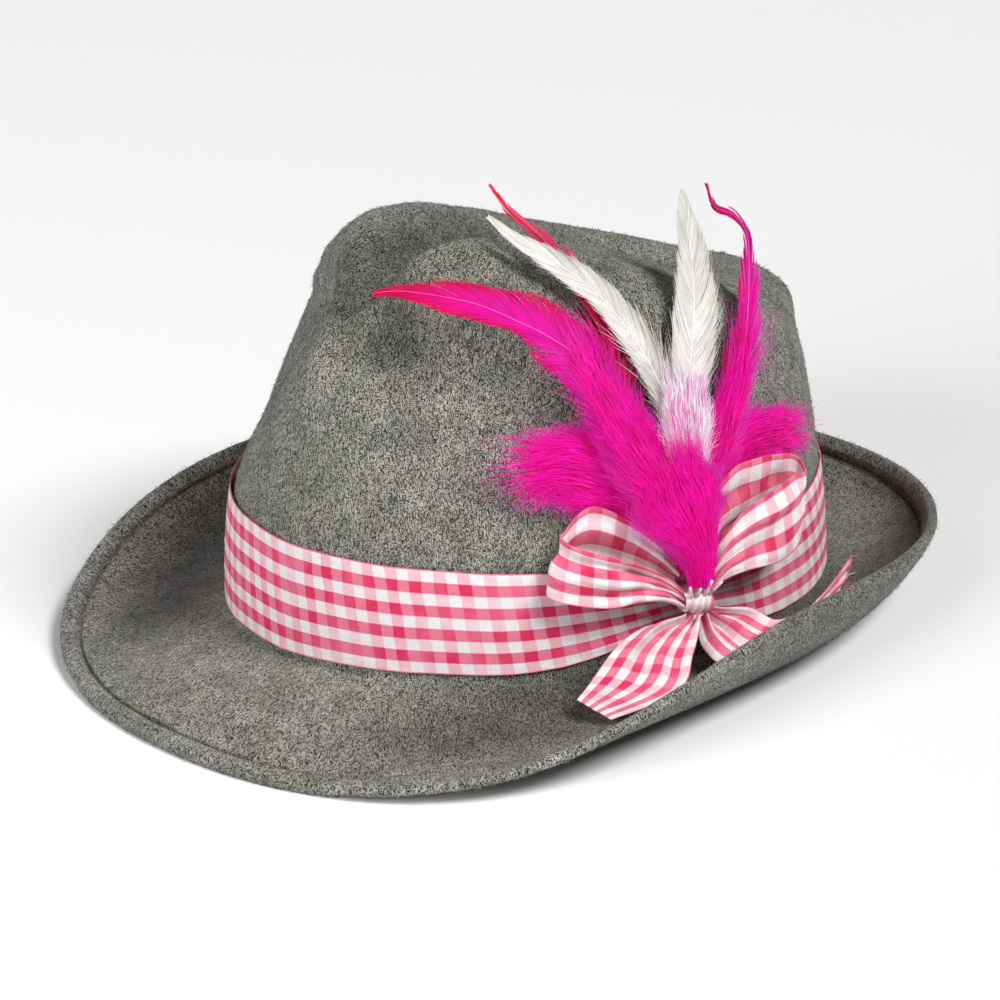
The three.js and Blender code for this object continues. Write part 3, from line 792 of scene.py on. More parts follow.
class Finish:
    """What every finish has in common: a material with one Principled shader."""

    @staticmethod
    def start(name: str, **sockets: float) -> tuple[Graph, Node, Material]:
        """Makes a material.

        Args:
            name: the material's name.
            sockets: numbers set on the shader's own sockets, with _ for each space in a name.

        Returns:
            Its graph, its Principled shader and the material.
        """
        material = bpy.data.materials.new(name)
        material.use_nodes = True
        graph = Graph(material.node_tree)
        shader = graph.node("ShaderNodeBsdfPrincipled")
        graph.node("ShaderNodeOutputMaterial", {"Surface": shader.outputs[0]})
        for label, value in sockets.items():
            shader.inputs[label.replace("_", " ")].default_value = value
        return graph, shader, material

    @staticmethod
    def group(graph: Graph, tree: NodeTree, finish: object) -> Node:
        """Places a shader group, its inputs set from the finish's fields of the same names.

        Args:
            graph: the material's graph.
            tree: the group.
            finish: the finish that has the values.

        Returns:
            The group's node.
        """
        node = graph.node("ShaderNodeGroup", node_tree=tree)
        for name, value in vars(finish).items():
            socket = node.inputs.get(name.replace("_", " ").capitalize())
            if socket is not None:
                socket.default_value = Finish.rgba(value) if isinstance(value, tuple) else value
        return node

    @staticmethod
    def bump(graph: Graph, height: object, strength: float, distance: float) -> Socket:
        """Turns a height into a normal."""
        feeds = {"Height": height, "Strength": strength, "Distance": distance}
        return graph.node("ShaderNodeBump", feeds).outputs[0]

    @staticmethod
    def rgba(colour: Colour) -> tuple[float, float, float, float]:
        """A colour with full opacity."""
        return (*colour, 1.0)


@dataclass(frozen=True)
class FeltFinish:
    """Grey melange wool felt with a brushed nap."""

    grain: float = 0.4
    nap_length: float = 1.5
    nap_share: float = 0.45
    contrast: float = 3.0
    dark: Colour = linear(36, 35, 29)
    light: Colour = linear(166, 164, 156)
    tint: Colour = (0.94, 0.96, 0.84)

    def build(self) -> Material:
        """Makes the felt's material, multiplying painted shade from the dye attribute into the wool's colour.
        """
        graph, shader, material = Finish.start("melange felt", Roughness=0.95, Sheen_Weight=0.12,
                                               Sheen_Roughness=0.5, Specular_IOR_Level=0.2)
        wool = Finish.group(graph, Effect.melange(), self).outputs
        # The felt's dye attribute holds painted shade, which darkens the wool's colour in the top crease and
        # the brim's trough.
        worn = graph.node("ShaderNodeAttribute", attribute_name="dye").outputs["Color"]
        graph.feed(shader.inputs["Base Color"], graph.blend(1.0, wool["Color"], worn, "MULTIPLY"))
        graph.feed(shader.inputs["Normal"], Finish.bump(graph, wool["Height"], 0.9, 0.0006))
        return material


@dataclass(frozen=True)
class GinghamFinish:
    """Woven pink and white checks."""

    name: str = "gingham"
    lean: float = 0.0
    white: Colour = linear(228, 221, 223)
    pale: Colour = linear(232, 178, 188)
    medium: Colour = linear(222, 88, 128)
    strong: Colour = linear(212, 38, 88)

    def build(self) -> Material:
        """Makes the ribbon's material."""
        graph, shader, material = Finish.start(self.name, Roughness=0.8, Sheen_Weight=0.15,
                                               Sheen_Roughness=0.5, Specular_IOR_Level=0.3)
        weave = Finish.group(graph, Effect.gingham(), self).outputs
        graph.feed(shader.inputs["Base Color"], weave["Color"])
        graph.feed(shader.inputs["Normal"], Finish.bump(graph, weave["Height"], 0.35, 0.0001))
        return material


@dataclass(frozen=True)
class FibreFinish:
    """Barbs, down and loose wool, coloured by their own dye, which on the nap and the down also holds painted
    shade, with an emission that can paint a glow onto them.
    """

    name: str
    unevenness: float = 0.2
    fibre: float = 0.4
    sheen: float = 0.2
    # Strength of an emission that paints a glow onto the fibres, standing in for light passing through them.
    glow: float = 0.0

    def build(self) -> Material:
        """Makes the fibres' material."""
        graph, shader, material = Finish.start(self.name, Sheen_Weight=self.sheen, Sheen_Roughness=0.4,
                                               Specular_IOR_Level=0.15)
        dyed = Finish.group(graph, Effect.dyed(), self).outputs
        graph.feed(shader.inputs["Base Color"], dyed["Color"])
        graph.feed(shader.inputs["Roughness"], dyed["Roughness"])
        # Painted glow: the dyed colour is also emitted, standing in for light passing through the fibres.
        if self.glow > 0:
            graph.feed(shader.inputs["Emission Color"], dyed["Color"])
            shader.inputs["Emission Strength"].default_value = self.glow
        return material


class Part(Enum):
    """Which side of the felt a ring of points lies on."""

    CROWN = 0
    BRIM = 1
    HEM = 2
    UNDER = 3
    INSIDE = 4


@dataclass
class FeltBody:
    """Crown and brim in one piece of felt, with a stitched hem along the brim's edge."""

    form: HatForm
    wall: float = 2.0
    hem_width: float = 6.0
    hem_thickness: float = 3.6
    hem_groove: float = 1.1
    rest_flat: float = 1.0
    dent: float = 0.55
    rim_lift: float = 1.4
    crease_press: float = 3.5
    lobe_push: Span = (6.0, 8.0)
    # Painted shade: how much darker the felt's colour is made down in the top crease and in the raised brim's
    # trough.
    crease_shade: float = 0.42
    trough_shade: float = 0.55
    columns: int = 500

    def __post_init__(self) -> None:
        """Works out the rings and how the hat rests on them."""
        self.angles = np.arange(self.columns) * 360 / self.columns
        self.parts, self.rings = self.make_rings()
        pitch, drop = self.resting(self.rings.reshape(-1, 3))
        self.press_flat(pitch, drop)
        turned = Rest(pitch, -drop, 0).place(self.rings.reshape(-1, 3))
        low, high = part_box("felt_body")
        middle = (low.y + high.y) / 2 / MILLIMETRE
        shift = middle - (turned[:, 1].min() + turned[:, 1].max()) / 2
        self.rest = Rest(pitch, -drop, shift)

    def hem_start(self) -> Array:
        """Share of the brim's width at which the hem's groove runs."""
        return 1 - self.hem_width / (around(self.form.brim_widths, self.angles) * self.form.brim_width)

    def dents(self, reach: float) -> Array:
        """Soft unevenness of the blocked felt around one ring of the crown."""
        turn = self.angles * DEGREES
        swell = ripple(turn + reach * 0.9, (3, 5, 8), 4)
        swell = swell + 0.7 * ripple(turn - reach * 2.1, (6, 11, 17), 9)
        return self.dent * swell * np.cos(reach * 2.3)

    def pressed(self, reach: float) -> Array:
        """One ring of the crown, with the crease pressed deeper and the near front lobe pushed out."""
        points = self.form.crown_point(self.angles, reach)
        x, y, z = points.T
        lobe = np.exp(-((y + 65) / 19) ** 2) * rising(x, 5, 8) * rising(z, 92, 16)
        x += self.lobe_push[0] * lobe
        z += self.lobe_push[1] * lobe
        along = rising(y, -88, 35) * falling(y, 50, 30) * rising(z, 78, 12)
        inner = falling(np.abs(x), 20, 8)
        rim = rising(x, 19, 6) * falling(x, 38, 12)
        z += along * (self.rim_lift * rim - self.crease_press * inner)
        return points

    def outside(self, reach: float) -> Array:
        """One ring over the crown's outer side."""
        form = self.form
        points = self.pressed(reach)
        clear_of_band = rising(points[:, 2], 42, 22) * falling(reach, 2.9, 0.6)
        lift = self.dents(reach) * clear_of_band
        return points + form.crown_normal(self.angles, reach) * lift[:, None]

    def inside(self, reach: float) -> Array:
        """One ring over the crown's inner side."""
        normal = self.form.crown_normal(self.angles, reach)
        return self.pressed(reach) - normal * self.wall

    def on_brim(self, share: float | Array, lift: float | Array) -> Array:
        """One ring over or under the brim."""
        lift = np.broadcast_to(np.asarray(lift, float), self.angles.shape)
        return self.form.brim_point(self.angles, share, lift)

    def make_rings(self) -> tuple[Array, Array]:
        """Lays rings over the crown and brim, round the hem and back inside.

        Returns:
            The part that each ring is of, and the rings' points.
        """
        start = self.hem_start()
        turn = self.angles * DEGREES
        uneven = 1 + 0.05 * ripple(turn, (7, 12, 19, 31), 3)
        rise = self.hem_thickness - self.wall
        round_middle = rise / 2 - self.wall / 2
        round_radius = self.hem_thickness / 2
        round_part = 1.05 - round_radius / self.hem_width

        def on_hem(part: float, lift: float) -> Array:
            return self.on_brim(mix(start, 1, part), lift * uneven)

        def round_hem(turned: float) -> Array:
            part = round_part + math.cos(turned) * round_radius / self.hem_width
            return on_hem(part, round_middle + math.sin(turned) * round_radius)

        parts: list[int] = []
        rings: list[Array] = []

        def add(part: Part, ring: Callable[..., Array], places: Array | list[Span]) -> None:
            for place in places:
                parts.append(part.value)
                rings.append(ring(*np.atleast_1d(place)))

        groove = [(-0.22, 0.0), (-0.13, -0.12), (-0.05, -0.7), (0.0, -1.0), (0.05, -0.75)]
        top = [(0.11, 0.35), (0.18, 0.75), (0.28, 0.95), (0.42, 1.0), (0.58, 1.0)]
        add(Part.CROWN, self.outside, np.linspace(2.96, 2.0, 26))
        add(Part.CROWN, self.outside, np.linspace(1.94, 1.0, 15))
        add(Part.CROWN, self.outside, np.linspace(0.95, 0.0, 17))
        add(Part.BRIM, lambda s: self.on_brim(mix(0.03, start - 0.03, s), 0), np.linspace(0, 1, 17))
        add(Part.HEM, lambda part, lift: on_hem(part, lift * self.hem_groove), groove)
        add(Part.HEM, lambda part, lift: on_hem(part, lift * rise), top)
        add(Part.HEM, round_hem, np.linspace(80, -80, 9) * DEGREES)
        add(Part.UNDER, lambda s: self.on_brim(mix(start, 0.03, s), -self.wall), np.linspace(-0.06, 1, 15))
        add(Part.INSIDE, self.inside, np.linspace(0, 1, 9))
        add(Part.INSIDE, self.inside, np.linspace(1.15, 2.9, 13))
        return np.array(parts), np.stack(rings)

    def resting(self, points: Array) -> Span:
        """Finds how the brim's front edge and its back come down to one floor.

        Args:
            points: the felt's points.

        Returns:
            The pitch, and how far the lowest point then lies under the crown's foot.
        """
        front, back = points[points[:, 1] < 0], points[points[:, 1] > 0]

        def lowest(some: Array, pitch: float) -> float:
            return float((some[:, 2] * math.cos(pitch) + some[:, 1] * math.sin(pitch)).min())

        flat, steep = -10 * DEGREES, 10 * DEGREES
        for _ in range(40):
            pitch = (flat + steep) / 2
            if lowest(front, pitch) < lowest(back, pitch):
                steep = pitch
            else:
                flat = pitch
        return pitch, lowest(points, pitch)

    def press_flat(self, pitch: float, drop: float) -> None:
        """Presses the felt flat where it touches the floor."""
        sin, cos = math.sin(pitch), math.cos(pitch)
        height = self.rings[..., 2] * cos + self.rings[..., 1] * sin - drop
        pressed = np.where(height < self.rest_flat, height, 0)
        self.rings[..., 2] -= pressed * cos
        self.rings[..., 1] -= pressed * sin

    def worn(self, points: Array) -> Array:
        """Painted shade on the felt: a lightness that is darker down in the top crease and in the raised
        brim's trough, where shade falls.

        Args:
            points: points in the hat's own frame.

        Returns:
            A share for each point.
        """
        x, y, z = points.T
        crease = falling(np.abs(x), 25, 9) * rising(z, 84, 8) * rising(y, -84, 16) * falling(y, 56, 24)
        away = np.hypot(2 * x / self.form.crown_width, 2 * y / self.form.crown_length)
        trough = falling(away, 1.52, 0.3) * falling(z, 40, 12) * rising(np.abs(x), 36, 40)
        return (1 - self.crease_shade * crease) * (1 - self.trough_shade * trough)

    def full_turn(self) -> float:
        """A length for one turn around the hat."""
        return math.pi * self.form.crown_length

    def lengths(self) -> Array:
        """Lengths around the hat and down the felt, for the nap's direction.

        Returns:
            Two millimetre lengths for each point, ring by ring.
        """
        steps = np.linalg.norm(np.diff(self.rings, axis=0), axis=-1).mean(1)
        down = np.concatenate([[0], np.cumsum(steps)])
        along = ((self.angles + 180) % 360 - 180) / 360 * self.full_turn()
        return np.stack(np.broadcast_arrays(along[None, :], down[:, None]), -1)

    def build(self, material: Material) -> None:
        """Makes the felt.

        Args:
            material: the felt's finish.
        """
        top = self.form.crown_point(0, 3.0)
        points, faces = Skin.body(self.rings, top, top - np.array([0, 0, self.wall]))
        faces = [f[:, ::-1] for f in faces]
        lengths = self.lengths().reshape(-1, 2)
        lengths = np.vstack([lengths, lengths[:1], lengths[-1:]])
        # Painted shade, darker in the top crease and in the brim's trough, goes into the felt's colour.
        dye = np.repeat(self.worn(points)[:, None], 3, axis=1)
        skin = Skin(points, faces, lengths, dye, self.full_turn())
        piece = skin.build("felt_shape", self.rest, material, Slot.FELT)
        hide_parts("felt_body")


@dataclass
class Nap:
    """Short brushed wool fibres that stand off the felt."""

    felt: FeltBody
    length: Span = (1.1, 2.4)
    width: float = 0.19
    grain: float = 0.9
    band_top: float = 36.0
    crown_count: int = 38000
    crown_seed: int = 11
    brim_count: int = 42000
    brim_seed: int = 12
    dark: Colour = linear(20, 19, 14)
    middle: Colour = linear(86, 84, 76)
    light: Colour = linear(196, 192, 183)

    def fibres(self, parts: tuple[Part, ...], count: int, seed: int) -> Skin:
        """Scatters fibres over some parts of the felt.

        Args:
            parts: where they grow.
            count: how many.
            seed: picks their places.

        Returns:
            The fibres as one skin.
        """
        rng = np.random.default_rng(seed)
        rings = self.felt.rings
        wanted = np.isin(self.felt.parts, [p.value for p in parts])
        rows = np.flatnonzero(wanted[:-1] & wanted[1:])
        a = rings[rows]
        b = np.roll(rings, -1, axis=1)[rows]
        c = rings[rows + 1]
        normal = np.cross(c - a, b - a)
        area = np.linalg.norm(normal, axis=-1)
        under_band = (a[..., 2] < self.band_top) & (self.felt.parts[rows] == Part.CROWN.value)[:, None]
        area = np.where(under_band, 0, area)
        chosen = rng.choice(area.size, count, p=(area / area.sum()).ravel())
        row, column = np.divmod(chosen, area.shape[1])
        s, t = rng.random((2, count, 1))
        start = a[row, column]
        across = b[row, column] - start
        down = c[row, column] - start
        root = start + across * s + down * t
        away = unit(normal[row, column])
        heading = np.where(self.felt.parts[rows[row]] == Part.UNDER.value, -1.0, 1.0)[:, None]
        turn = rng.normal(0, 42 * DEGREES, (count, 1))
        ahead = unit(unit(down) * heading * np.cos(turn) + unit(across) * np.sin(turn))
        lift = np.abs(rng.normal(0, 15 * DEGREES, (count, 1))) + 6 * DEGREES
        length = rng.uniform(*self.length, (count, 1))
        bend = rng.normal(0, 0.22, (count, 1))
        side = np.cross(away, ahead)
        first = root - away * 0.12
        middle = first + length * 0.5 * (ahead * np.cos(lift) + away * np.sin(lift))
        onward = ahead * np.cos(lift * 0.6) + away * np.sin(lift * 0.6) + side * bend
        paths = np.stack([first, middle, middle + length * 0.5 * unit(onward)], 1)
        sideways = np.repeat(unit(side + away * rng.normal(0, 0.3, (count, 1)))[:, None], 3, axis=1)
        widths = self.width * rng.uniform(0.7, 1.2, (count, 1)) * np.array([[1.0, 0.85, 0.25]])
        cell = np.floor(root / self.grain) @ np.array([12.9898, 78.233, 37.719])
        tone = np.clip(0.7 * (np.sin(cell) * 4375.8 % 1)[:, None] + 0.5 * rng.random((count, 1)) - 0.1, 0, 1)
        colour = np.where(tone < 0.5, mix(self.dark, self.middle, tone * 2),
                          mix(self.middle, self.light, tone * 2 - 1))
        # Painted shade from the felt darkens the nap in the top crease and the brim's trough.
        colour = colour * self.felt.worn(root)[:, None]
        return strands(paths, sideways, widths, np.repeat(colour[:, None], 3, axis=1))

    def build(self, material: Material) -> None:
        """Makes the nap of the crown and of the brim."""
        crown = self.fibres((Part.CROWN,), self.crown_count, self.crown_seed)
        crown.build("nap_crown", self.felt.rest, material, Slot.FELT)
        brim = self.fibres((Part.BRIM, Part.HEM, Part.UNDER), self.brim_count, self.brim_seed)
        brim.build("nap_brim", self.felt.rest, material, Slot.FELT)


@dataclass
class RibbonBand:
    """Gingham ribbon round the foot of the crown, gathered towards the bow."""

    form: HatForm
    width: float = 38.0
    wall: float = 0.45
    lift: float = 1.4
    clearance: float = 0.25
    gather: float = 0.5
    gather_reach: float = 27.0
    draw_in: float = 0.2
    drawn_reach: float = 160.0
    drawn_height: float = 10.0
    columns: int = 600
    rows: int = 34

    def build(self, rest: Rest, material: Material) -> None:
        """Makes the band.

        Args:
            rest: how the hat stands.
            material: the ribbon's finish.
        """
        form = self.form
        angle = (np.arange(self.columns) * 360 / self.columns)[None, :]
        along = (angle - form.bow_angle + 180) % 360 - 180
        reach = along * form.arc_per_degree()
        gathered = self.gather * np.exp(-(reach / self.gather_reach) ** 2)
        drawn = self.draw_in * np.exp(-(reach / self.drawn_reach) ** 2)
        turn = angle * DEGREES
        wander = 0.25 * ripple(turn, (4, 9, 15), 21)

        def sheet(share: Array, out: float) -> Array:
            height = mix(self.lift + share * self.width, self.drawn_height, drawn)
            height = mix(height, form.bow_height, gathered) + wander
            folds = gathered * np.sin(share * 24 + reach * 0.05) * 0.9
            swell = 0.12 * ripple(turn + share * 2.5, (23, 37, 51), 22)
            lift = self.clearance + out + np.maximum(folds, 0) + np.maximum(swell, 0)
            return form.side_point(angle, height, lift)

        upward = np.linspace(0, 1, self.rows)
        downward = np.linspace(1, 0, 4)
        outer = sheet(upward[:, None], self.wall)
        rings = np.vstack([outer, sheet(downward[:, None], 0.0), outer[:1]])
        height = np.concatenate([upward, downward, [0]]) * self.width
        lengths = np.stack(np.broadcast_arrays(reach, height[:, None]), -1)
        seam = np.argmax(np.abs(np.diff(along[0])) > 180) + 1
        rings = np.roll(rings, -seam, axis=1)
        lengths = np.roll(lengths, -seam, axis=1)
        rings = np.concatenate([rings, rings[:, :1]], 1)
        closing = lengths[:, :1] + np.array([360 * form.arc_per_degree(), 0])
        lengths = np.concatenate([lengths, closing], 1)
        skin = Skin(rings.reshape(-1, 3), [Skin.grid(rings)], lengths.reshape(-1, 2))
        piece = skin.build("ribbon_band_cloth", rest, material, Slot.GINGHAM)
        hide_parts("ribbon_band")


@dataclass(frozen=True)
class Fold:
    """A crease or a bulge across a strip of ribbon.

    Attributes:
        along: its place as a share of the strip's length.
        across: its place as a share of the strip's width.
        reach: how far it spreads each way, in the same shares.
        height: how far it stands out, in millimetres.
    """

    along: float
    across: float
    reach: Span
    height: float


@dataclass
class RibbonStrip:
    """A strip of ribbon between two edge lines, pleated where it is gathered.

    Attributes:
        low: points of one edge.
        high: points of the other edge.
        shown: millimetres of the ribbon's width that show, the rest being tucked away.
        crumple: depth of the small sharp creases, in millimetres.
        seed: picks the creases.
        wall: thickness of the cloth.
        stations: how many rows of points it has along.
        across: how many points each side of the cloth has across.
    """

    low: Array
    high: Array
    shown: float
    crumple: float = 0.35
    seed: int = 1
    wall: float = 0.5
    stations: int = 140
    across: int = 44

    def creases(self, along: Array, across: Array) -> Array:
        """Small sharp creases that run mostly along the strip."""
        rng = np.random.default_rng(self.seed)
        lift = np.zeros(along.shape)
        for _ in range(6):
            turn, period = rng.normal(0, 0.55), rng.uniform(9, 19)
            bend = 0.7 * np.sin(along / rng.uniform(7, 15) + rng.uniform(0, 6))
            place = (across * math.cos(turn) + along * math.sin(turn)) * math.pi / period
            lift += 0.7 - np.abs(np.sin(place + bend + rng.uniform(0, 6))) ** 0.6
        return self.crumple * lift / 1.6

    def build(self, pleats: Array, folds: tuple[Fold, ...], pleat_count: float, phase: float) -> Skin:
        """Makes the strip.

        Args:
            pleats: the pleats' depth at each station, in millimetres.
            folds: further folds.
            pleat_count: how many pleats lie side by side.
            phase: where the first begins, in radians.

        Returns:
            The strip as a skin with its lengths along and across.
        """
        low, high = line_through(self.low, self.stations), line_through(self.high, self.stations)
        share = np.linspace(0, 1, self.across)[None, :]
        surface = mix(low[:, None], high[:, None], share[..., None])
        middle = (low + high) / 2
        normal = unit(np.cross(high - low, np.gradient(middle, axis=0)))[:, None]
        length = np.concatenate([[0], np.cumsum(np.linalg.norm(np.diff(middle, axis=0), axis=1))])
        along, across = np.broadcast_arrays(length[:, None], share * self.shown)
        wave = np.sin(2 * math.pi * pleat_count * share + phase)
        wave = wave + 0.35 * np.sin(2 * math.pi * (2.1 * pleat_count) * share + 2 * phase + 0.7)
        lift = pleats[:, None] * wave + self.creases(along, across)
        station = np.linspace(0, 1, self.stations)[:, None]
        for fold in folds:
            lengthwise = (station - fold.along) / fold.reach[0]
            crosswise = (share - fold.across) / fold.reach[1]
            lift = lift + fold.height * np.exp(-(lengthwise ** 2 + crosswise ** 2))
        surface = surface + normal * lift[..., None]
        out = unit(np.cross(np.gradient(surface, axis=1), np.gradient(surface, axis=0)))
        front, back = surface + out * self.wall / 2, surface - out * self.wall / 2
        ring = np.concatenate([front, back[:, ::-1], front[:, :1]], 1)
        lengths = np.stack([along, across], -1)
        ring_lengths = np.concatenate([lengths, lengths[:, ::-1], lengths[:, :1]], 1)
        ends = Skin.lids(*ring.shape[:2], 2 * self.across - 1)
        return Skin(ring.reshape(-1, 3), [Skin.grid(ring), *ends], ring_lengths.reshape(-1, 2))


Loop = tuple[tuple[tuple[float, float, float], tuple[float, float, float]], ...]


@dataclass
class Bow:
    """Two loops and two tails of ribbon, gathered under a knot. Millimetres; table lengths are shares."""

    form: HatForm
    rest: Rest
    ribbon_width: float = 38.0
    clearance: float = 0.3
    knot_width: float = 11.0
    knot_height: float = 9.0
    knot_depth: float = 9.0
    knot_back: float = 3.4
    knot_scale: float = 0.86
    knot_tilt: float = -0.25
    front_reach: float = 41.0
    back_reach: float = 35.0
    pleat_depth: float = 1.6
    shown_share: float = 0.6
    front_loop: Loop = (
        ((0, -0.03, 0.24), (0, 0.1, 0.25)),
        ((0.14, 0.05, 0.27), (0.14, 0.24, 0.27)),
        ((0.34, 0.09, 0.29), (0.32, 0.36, 0.29)),
        ((0.55, 0.08, 0.3), (0.55, 0.46, 0.29)),
        ((0.77, 0.11, 0.27), (0.75, 0.54, 0.27)),
        ((0.95, 0.16, 0.22), (0.86, 0.6, 0.23)),
        ((1.0, 0.19, 0.16), (0.89, 0.64, 0.2)),
        ((0.93, 0.2, 0.1), (0.84, 0.71, 0.17)),
        ((0.7, 0.17, 0.08), (0.65, 0.83, 0.16)),
        ((0.45, 0.13, 0.08), (0.38, 0.71, 0.17)),
        ((0.2, 0.09, 0.09), (0.14, 0.49, 0.19)),
        ((0, 0.02, 0.12), (0, 0.3, 0.18)),
    )
    back_loop: Loop = (
        ((0, 0.02, 0.25), (0, 0.26, 0.25)),
        ((0.13, 0.12, 0.31), (0.14, 0.48, 0.33)),
        ((0.34, 0.16, 0.37), (0.34, 0.64, 0.4)),
        ((0.66, 0.15, 0.39), (0.6, 0.72, 0.45)),
        ((0.95, 0.2, 0.35), (0.85, 0.76, 0.45)),
        ((1.13, 0.34, 0.25), (1.06, 0.74, 0.4)),
        ((1.09, 0.38, 0.14), (1.04, 0.84, 0.36)),
        ((0.86, 0.36, 0.1), (0.84, 0.92, 0.34)),
        ((0.62, 0.31, 0.08), (0.6, 0.95, 0.31)),
        ((0.38, 0.26, 0.08), (0.38, 0.94, 0.25)),
        ((0.18, 0.2, 0.1), (0.18, 0.8, 0.19)),
        ((0, 0.08, 0.13), (0, 0.4, 0.18)),
    )

    def loop(self, name: str, table: Loop, reach: float, direction: int,
             folds: tuple[Fold, ...], material: Material) -> None:
        """Makes one loop.

        Args:
            name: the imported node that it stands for.
            table: both edges from the knot and back to it.
            reach: how far it goes from the knot.
            direction: -1 towards the front of the hat, 1 towards the back.
            folds: its own folds.
            material: the ribbon's finish.
        """
        start = self.knot_width * self.knot_scale / 2 - self.clearance
        out, up, off = np.moveaxis(np.array(table, float), -1, 0)
        width = self.ribbon_width
        edges = self.form.bow_point(direction * (start + out * reach), up * width, off * width)
        strip = RibbonStrip(edges[:, 0], edges[:, 1], self.shown_share * width, 0.55, 61 + direction)
        station = np.linspace(0, 1, strip.stations)
        depth = self.pleat_depth * np.abs(2 * station - 1) ** 2.2
        skin = strip.build(depth, folds, 2.4, 0.6 * direction)
        piece = skin.build(name + "_cloth", self.rest, material, Slot.GINGHAM)
        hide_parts(name)

    def on_side(self, along: float, up: float, out: float) -> Array:
        """A tail's point over the crown's side, by shares of the ribbon's width."""
        width = self.ribbon_width
        return self.form.bow_point(along * width, up * width, out * width)

    def on_brim(self, along: float, share: float, lift: float) -> Array:
        """A tail's point over the brim."""
        angle = self.form.bow_angle + along * self.ribbon_width / self.form.arc_per_degree()
        return self.form.brim_point(angle, share, lift * self.ribbon_width)

    def tail(self, name: str, left: list[Array], right: list[Array], folds: tuple[Fold, ...],
             material: Material) -> Array:
        """Makes one tail.

        Args:
            name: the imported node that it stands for.
            left: its edge nearer the front.
            right: its other edge.
            folds: its own folds.
            material: the ribbon's finish.

        Returns:
            The two corners of its cut end.
        """
        strip = RibbonStrip(np.array(left), np.array(right), self.ribbon_width, 0.45, len(left), stations=110)
        station = np.linspace(0, 1, strip.stations)
        depth = self.pleat_depth * ((1 - station) ** 1.6 + 0.12)
        skin = strip.build(depth, folds, 2.6, 1.1)
        piece = skin.build(name + "_cloth", self.rest, material, Slot.GINGHAM)
        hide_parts(name)
        return np.array([left[-1], right[-1]])

    def frayed(self, corners: Array, ahead: Array, count: int, seed: int) -> Skin:
        """Loose threads along a cut end.

        Args:
            corners: the two corners of the end.
            ahead: where the threads point.
            count: how many there are.
            seed: picks them.

        Returns:
            The threads.
        """
        rng = np.random.default_rng(seed)
        root = mix(corners[0], corners[1], rng.random((count, 1)))
        length = rng.uniform(0.8, 3.4, (count, 1))
        curl = rng.normal(0, 0.35, (count, 3))
        steps = np.linspace(0, 1, 5)[None, :, None]
        reach = length[:, None] * steps
        paths = root[:, None] + unit(ahead) * reach + curl[:, None] * reach * steps
        side = unit(np.cross(unit(ahead)[None], rng.normal(0, 1, (count, 3))))
        widths = np.repeat(rng.uniform(0.14, 0.24, (count, 1)), 5, axis=1)
        pick = rng.random((count, 1)) < 0.5
        colour = np.where(pick, np.array(linear(246, 190, 206)), np.array(linear(232, 90, 130)))
        side, colour = (np.repeat(one[:, None], 5, axis=1) for one in (side, colour))
        return strands(paths, side, widths, colour)

    def knot(self, material: Material) -> None:
        """Makes the wrap round the bow's middle, a barrel of folds along the band.

        Args:
            material: the ribbon's finish.
        """
        rows = np.linspace(-1, 1, 61)[:, None]
        sides = 56
        turn = 2 * math.pi * np.arange(sides)[None, :] / sides
        swell = 0.78 + 0.22 * np.sqrt(np.maximum(1 - rows ** 2, 0))
        slant = rows + 0.45 * np.sin(turn - 0.6)
        folds = 0.12 * np.abs(np.sin(slant * 3.6 + 0.4)) + 0.05 * np.sin(slant * 13 + 1) - 0.08
        size = swell + folds * np.sqrt(np.maximum(1.05 - rows ** 2, 0))
        along = np.broadcast_to(rows * self.knot_scale * self.knot_width / 2, size.shape)
        up = self.knot_scale * size * self.knot_height / 2 * np.cos(turn) + self.knot_tilt * along
        out = self.knot_back + self.knot_depth / 2 * (1 + size * np.sin(turn))
        rings = self.form.bow_point(along, up, out)
        around_knot = np.broadcast_to(turn * self.knot_height / 2, up.shape)
        lengths = np.stack([around_knot, 2.6 + 1.7 * slant], -1)
        closed = np.concatenate([rings, rings[:, :1]], 1)
        seam = lengths[:, :1] + np.array([math.pi * self.knot_height, 0])
        closed_lengths = np.concatenate([lengths, seam], 1)
        ends = Skin.lids(len(rows), sides + 1, sides)
        skin = Skin(closed.reshape(-1, 3), [Skin.grid(closed), *ends], closed_lengths.reshape(-1, 2))
        piece = skin.build("bow_knot_cloth", self.rest, material, Slot.GINGHAM)
        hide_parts("bow_knot")

    def build(self, material: Material, threads: Material) -> None:
        """Makes the bow.

        Args:
            material: the ribbon's finish.
            threads: the finish of loose threads.
        """
        front_folds = (Fold(0.2, 0.8, (0.06, 0.12), -3.4), Fold(0.24, 0.45, (0.1, 0.09), 1.6),
                       Fold(0.34, 0.95, (0.08, 0.12), 1.8), Fold(0.13, 0.5, (0.05, 0.1), -1.8),
                       Fold(0.3, 0.22, (0.07, 0.08), -2.2), Fold(0.11, 0.3, (0.04, 0.07), 1.3),
                       Fold(0.72, 0.45, (0.16, 0.18), 3.0), Fold(0.62, 0.9, (0.05, 0.3), -1.0))
        self.loop("bow_loop_front", self.front_loop, self.front_reach, -1, front_folds, material)
        back_folds = (Fold(0.2, 0.3, (0.1, 0.1), 1.5), Fold(0.78, 0.6, (0.12, 0.18), 1.6),
                      Fold(0.3, 0.75, (0.1, 0.12), -1.6), Fold(0.14, 0.62, (0.05, 0.08), 1.2),
                      Fold(0.42, 0.35, (0.06, 0.1), -1.1))
        self.loop("bow_loop_back", self.back_loop, self.back_reach, 1, back_folds, material)

